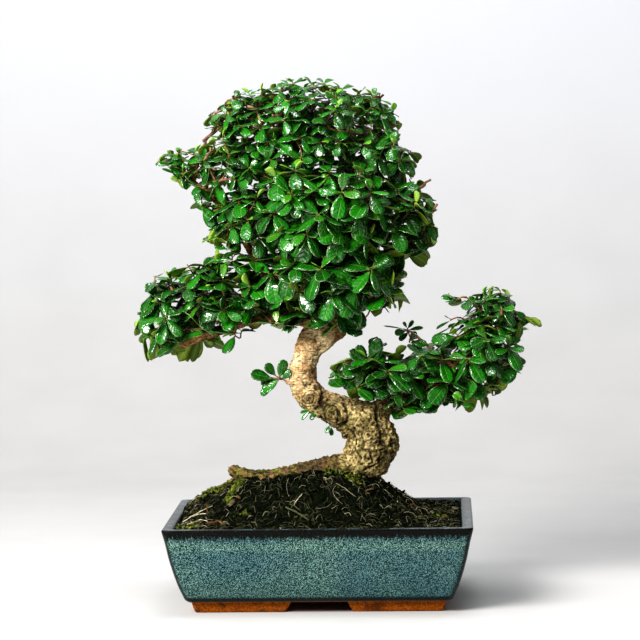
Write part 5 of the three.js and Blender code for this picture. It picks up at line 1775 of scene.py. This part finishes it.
def rosette(heap, form, tip, axis, leaf, wide, hang, count, path):
    """Leaves round one shoot tip, the oldest and lowest first, and one or two lower down its twig."""
    start = random.uniform(0, 2 * math.pi)
    grown = 0
    for i in range(count):
        share = i / max(1, count - 1)
        young = max(0.0, (share - 0.7) / 0.3) * random.uniform(0.0, 1.0) ** 1.5
        size = leaf * LEAF_SCALE * (1.08 - 0.5 * share**1.8) * random.uniform(0.82, 1.14)
        lean = math.radians(98 - 58 * share**1.6 + random.uniform(-14, 14))
        base = tip - axis * (1 - share) * 3.2
        for turn in (0, 0.5, -0.6):
            out = around_axis(axis, start + i * GOLDEN_ANGLE + turn)
            along = axis * math.cos(lean) + out * math.sin(lean)
            along[2] = along[2] * LEVELLING - hang * (1 - share) * random.uniform(0.3, 1.0)
            face = axis * 0.8 + np.array([0, 0, 0.7]) - out * 0.25 + random.normal(size=3) * 0.22
            if add_leaf(heap, form, base, along, face, size, wide, young):
                grown += 1
                break
    for _ in range(2 if form is OUTER_LEAF else 1):
        share = random.uniform(0.45, 0.85)
        at = path[int(share * (len(path) - 1))]
        out = around_axis(axis, random.uniform(0, 2 * math.pi))
        along = out + axis * random.uniform(0.1, 0.5) - np.array([0, 0, 0.5 * hang])
        face = axis * 0.6 + np.array([0, 0, 0.9]) + random.normal(size=3) * 0.2
        size = leaf * LEAF_SCALE * random.uniform(0.85, 1.1)
        grown += add_leaf(heap, form, at, along, face, size, wide, 0.0)
    return grown


print("room for leaves from", BOX_LOW.round().tolist(), "to", BOX_HIGH.round().tolist())

# %% [markdown]
# A leaf's top is deep green and shines, with a paler rib, a thin pale rim and puffed fields between its side
# veins that break the shine into patches. The pale rim is partly the leaf's own edge and partly a painted
# highlight, where the rolled margin catches the light. The underside is olive and duller; its lime tone is
# partly painted light shining through the leaf. The points carry where they are on the leaf, along and across,
# so the veins follow every curve.

# %% Leaf and twig finishes
def leaf_skin(tree):
    """Where a point is on the leaf, the wave of its side veins, its rib, and the height they make."""
    along, across = attribute(tree, "along"), math_node(tree, "ABSOLUTE", attribute(tree, "across"))
    slant = minus(tree, along, times(tree, across, 0.2))
    wave = math_node(tree, "SINE", times(tree, slant, 40.0))
    fields = plus(tree, times(tree, wave, 0.25), mottle(tree, 430.0, 0.3, 0.7)["Mask"])
    rib = step(tree, across, 0.12, 0.0)
    return along, across, wave, rib, minus(tree, fields, times(tree, rib, 1.2))


def leaf_top_material():
    material, tree, shader = new_material("glossy_leaf_top")
    along, across, wave, rib, height = leaf_skin(tree)
    tone_share = attribute(tree, "tone")
    old, fresh = mix(tree, tone_share, "022e02", "156c05"), mix(tree, tone_share, "2a7d0c", "78b01a")
    clouds = mottle(tree, 190.0, 0.35, 0.65)["Mask"]
    # the pale rim is partly the leaf's paler edge, partly a painted highlight where the rolled margin catches
    # the light
    foot, rim = step(tree, along, 0.22, 0.0), step(tree, across, 0.84, 0.99)
    tone = stained(tree, mix(tree, attribute(tree, "young"), old, fresh), ("187608", clouds, 0.3),
                   ("7fa556", rib, 0.28), ("93a64a", foot, 0.75), ("b3ca92", rim, 0.75))
    # the shine lies in patches: between the side veins, where the skin is waxy and not worn
    wax = mottle(tree, 180.0, 0.36, 0.5)["Mask"]
    whole = plus(tree, times(tree, mottle(tree, 850.0, 0.42, 0.58)["Mask"], 0.72), 0.28)
    shine = times(tree, times(tree, wax, step(tree, wave, -0.8, 0.0)), whole)
    finish_shader(tree, shader, Base_Color=tone, Roughness=ramp(tree, shine, (0.0, 0.42), (1.0, 0.24)),
                  Specular_IOR_Level=0.1, Coat_Weight=shine, Coat_Roughness=0.25, Coat_IOR=2.4,
                  Normal=bump(tree, height, 0.4))
    return material


def leaf_under_material():
    material, tree, shader = new_material("olive_leaf_underside")
    *_, rib, height = leaf_skin(tree)
    # the lime olive is partly the underside's own paler colour, partly painted light shining through the leaf
    old = mix(tree, attribute(tree, "tone"), "4d6a1a", "86a032")
    tone = stained(tree, mix(tree, attribute(tree, "young"), old, "8fb54a"), ("a9b96c", rib, 0.6))
    finish_shader(tree, shader, Base_Color=tone, Roughness=0.5, Specular_IOR_Level=0.3,
                  Normal=bump(tree, height, 0.15))
    return material


def twig_material():
    material, tree, shader = new_material("red_brown_twig")
    bark_tone = mix(tree, mottle(tree, 190.0, 0.4, 0.62)["Mask"], "5a3324", "8d6848")
    grain = mottle(tree, 900.0, 0.35, 0.65)["Height"]
    tone = stained(tree, bark_tone, ("7c9440", attribute(tree, "young"), 0.8))
    finish_shader(tree, shader, Base_Color=tone, Roughness=0.75, Normal=bump(tree, grain, 0.3))
    return material


leaf_finishes = [twig_material(), leaf_top_material(), leaf_under_material()]
print("leaf finishes:", [m.name for m in leaf_finishes])

# %% Grow every spray
RIGHT_BRANCH_PLACES = ("right_top", "tuft_branch_low", "tuft_branch_end", "tuft_branch_sprig",
                       "tuft_far_right", "tuft_by_trunk")
SMALL_CLOUD = 25


def on_right_branch(number, at):
    """Whether a tuft, or a stump if it has no number, grows on the right branch."""
    if number is None:
        return at[0] > 100 and at[2] < 260
    return PLACES[number][0] in RIGHT_BRANCH_PLACES


def owner(number, at):
    """The spray of this cloud, or else the one nearest that grows on the same branch."""
    same = [i for i, (cloud, _) in enumerate(sprays) if cloud == number]
    if not same:
        right = on_right_branch(number, at)
        for i, (cloud, _) in enumerate(sprays):
            name = CLOUDS[cloud][0]
            if name not in PLACED_BY_HAND and name.startswith("right") == right:
                same.append(i)
    return min(same, key=lambda i: np.linalg.norm(sprays[i][1] - at))


def add_twigs(heap, twigs):
    """Every run as a tube, and a stem that goes on into the wood."""
    for run in twigs.runs:
        radii = [twigs.radius(run[1])] + [twigs.radius(k) for k in run[1:]]
        radii[-1] *= 0.75
        add_tube(heap, [twigs.at[k] for k in run], radii, 6)
    stem = [twigs.at[0], twigs.at[1], twigs.at[1] + twigs.way[1] * 0.8]
    add_tube(heap, stem, [twigs.radius(1) * 1.05] * 3, 8)


def grow_spray(i, own_tips, own_stumps):
    number, target = sprays[i]
    seat = spray_seat(spray_names[i])
    aim = target if HALVES[number][0] > SMALL_CLOUD else MIDDLES[number]
    twigs = Twigs(seat, unit(aim - seat))
    heap = Heap("along", "across", "young", "tone")
    leaves = 0
    for cloud, at, inner in sorted(own_tips, key=lambda tip: np.linalg.norm(tip[1] - seat)):
        _, _, _, leaf, wide, hang = PLACES[cloud]
        hang = hang * (1.1 - 0.7 * outward(cloud, at)[2])
        axis = unit(outward(cloud, at) * 0.75 + np.array([0, 0, 0.62]) + random.normal(size=3) * 0.2)
        path = twigs.grow(at, axis)
        form, count = (INNER_LEAF, 6) if inner else (OUTER_LEAF, random.integers(6, 8))
        leaves += rosette(heap, form, at, axis, leaf, wide, hang, count, path)
    leaves += placed_leaves(heap, twigs, spray_names[i])
    for end, way in own_stumps:
        path = twigs.grow(np.array(end, float), unit(np.array(way)))
        add_tube(heap, path, np.linspace(1.25, 0.95, len(path)), 7)
        twigs.runs.pop()
    add_twigs(heap, twigs)
    settle(heap.piece(spray_names[i] + "_leaves", leaf_finishes), "leaf", spray_names[i])
    return leaves


tips_of = [[] for _ in sprays]
for tip in tips:
    tips_of[owner(tip[0], tip[1])].append(tip)
stumps_of = [[] for _ in sprays]
for stump in CUT_TWIGS:
    stumps_of[owner(None, np.array(stump[0]))].append(stump)
print("leaves grown:", sum(grow_spray(i, tips_of[i], stumps_of[i]) for i in range(len(sprays))))
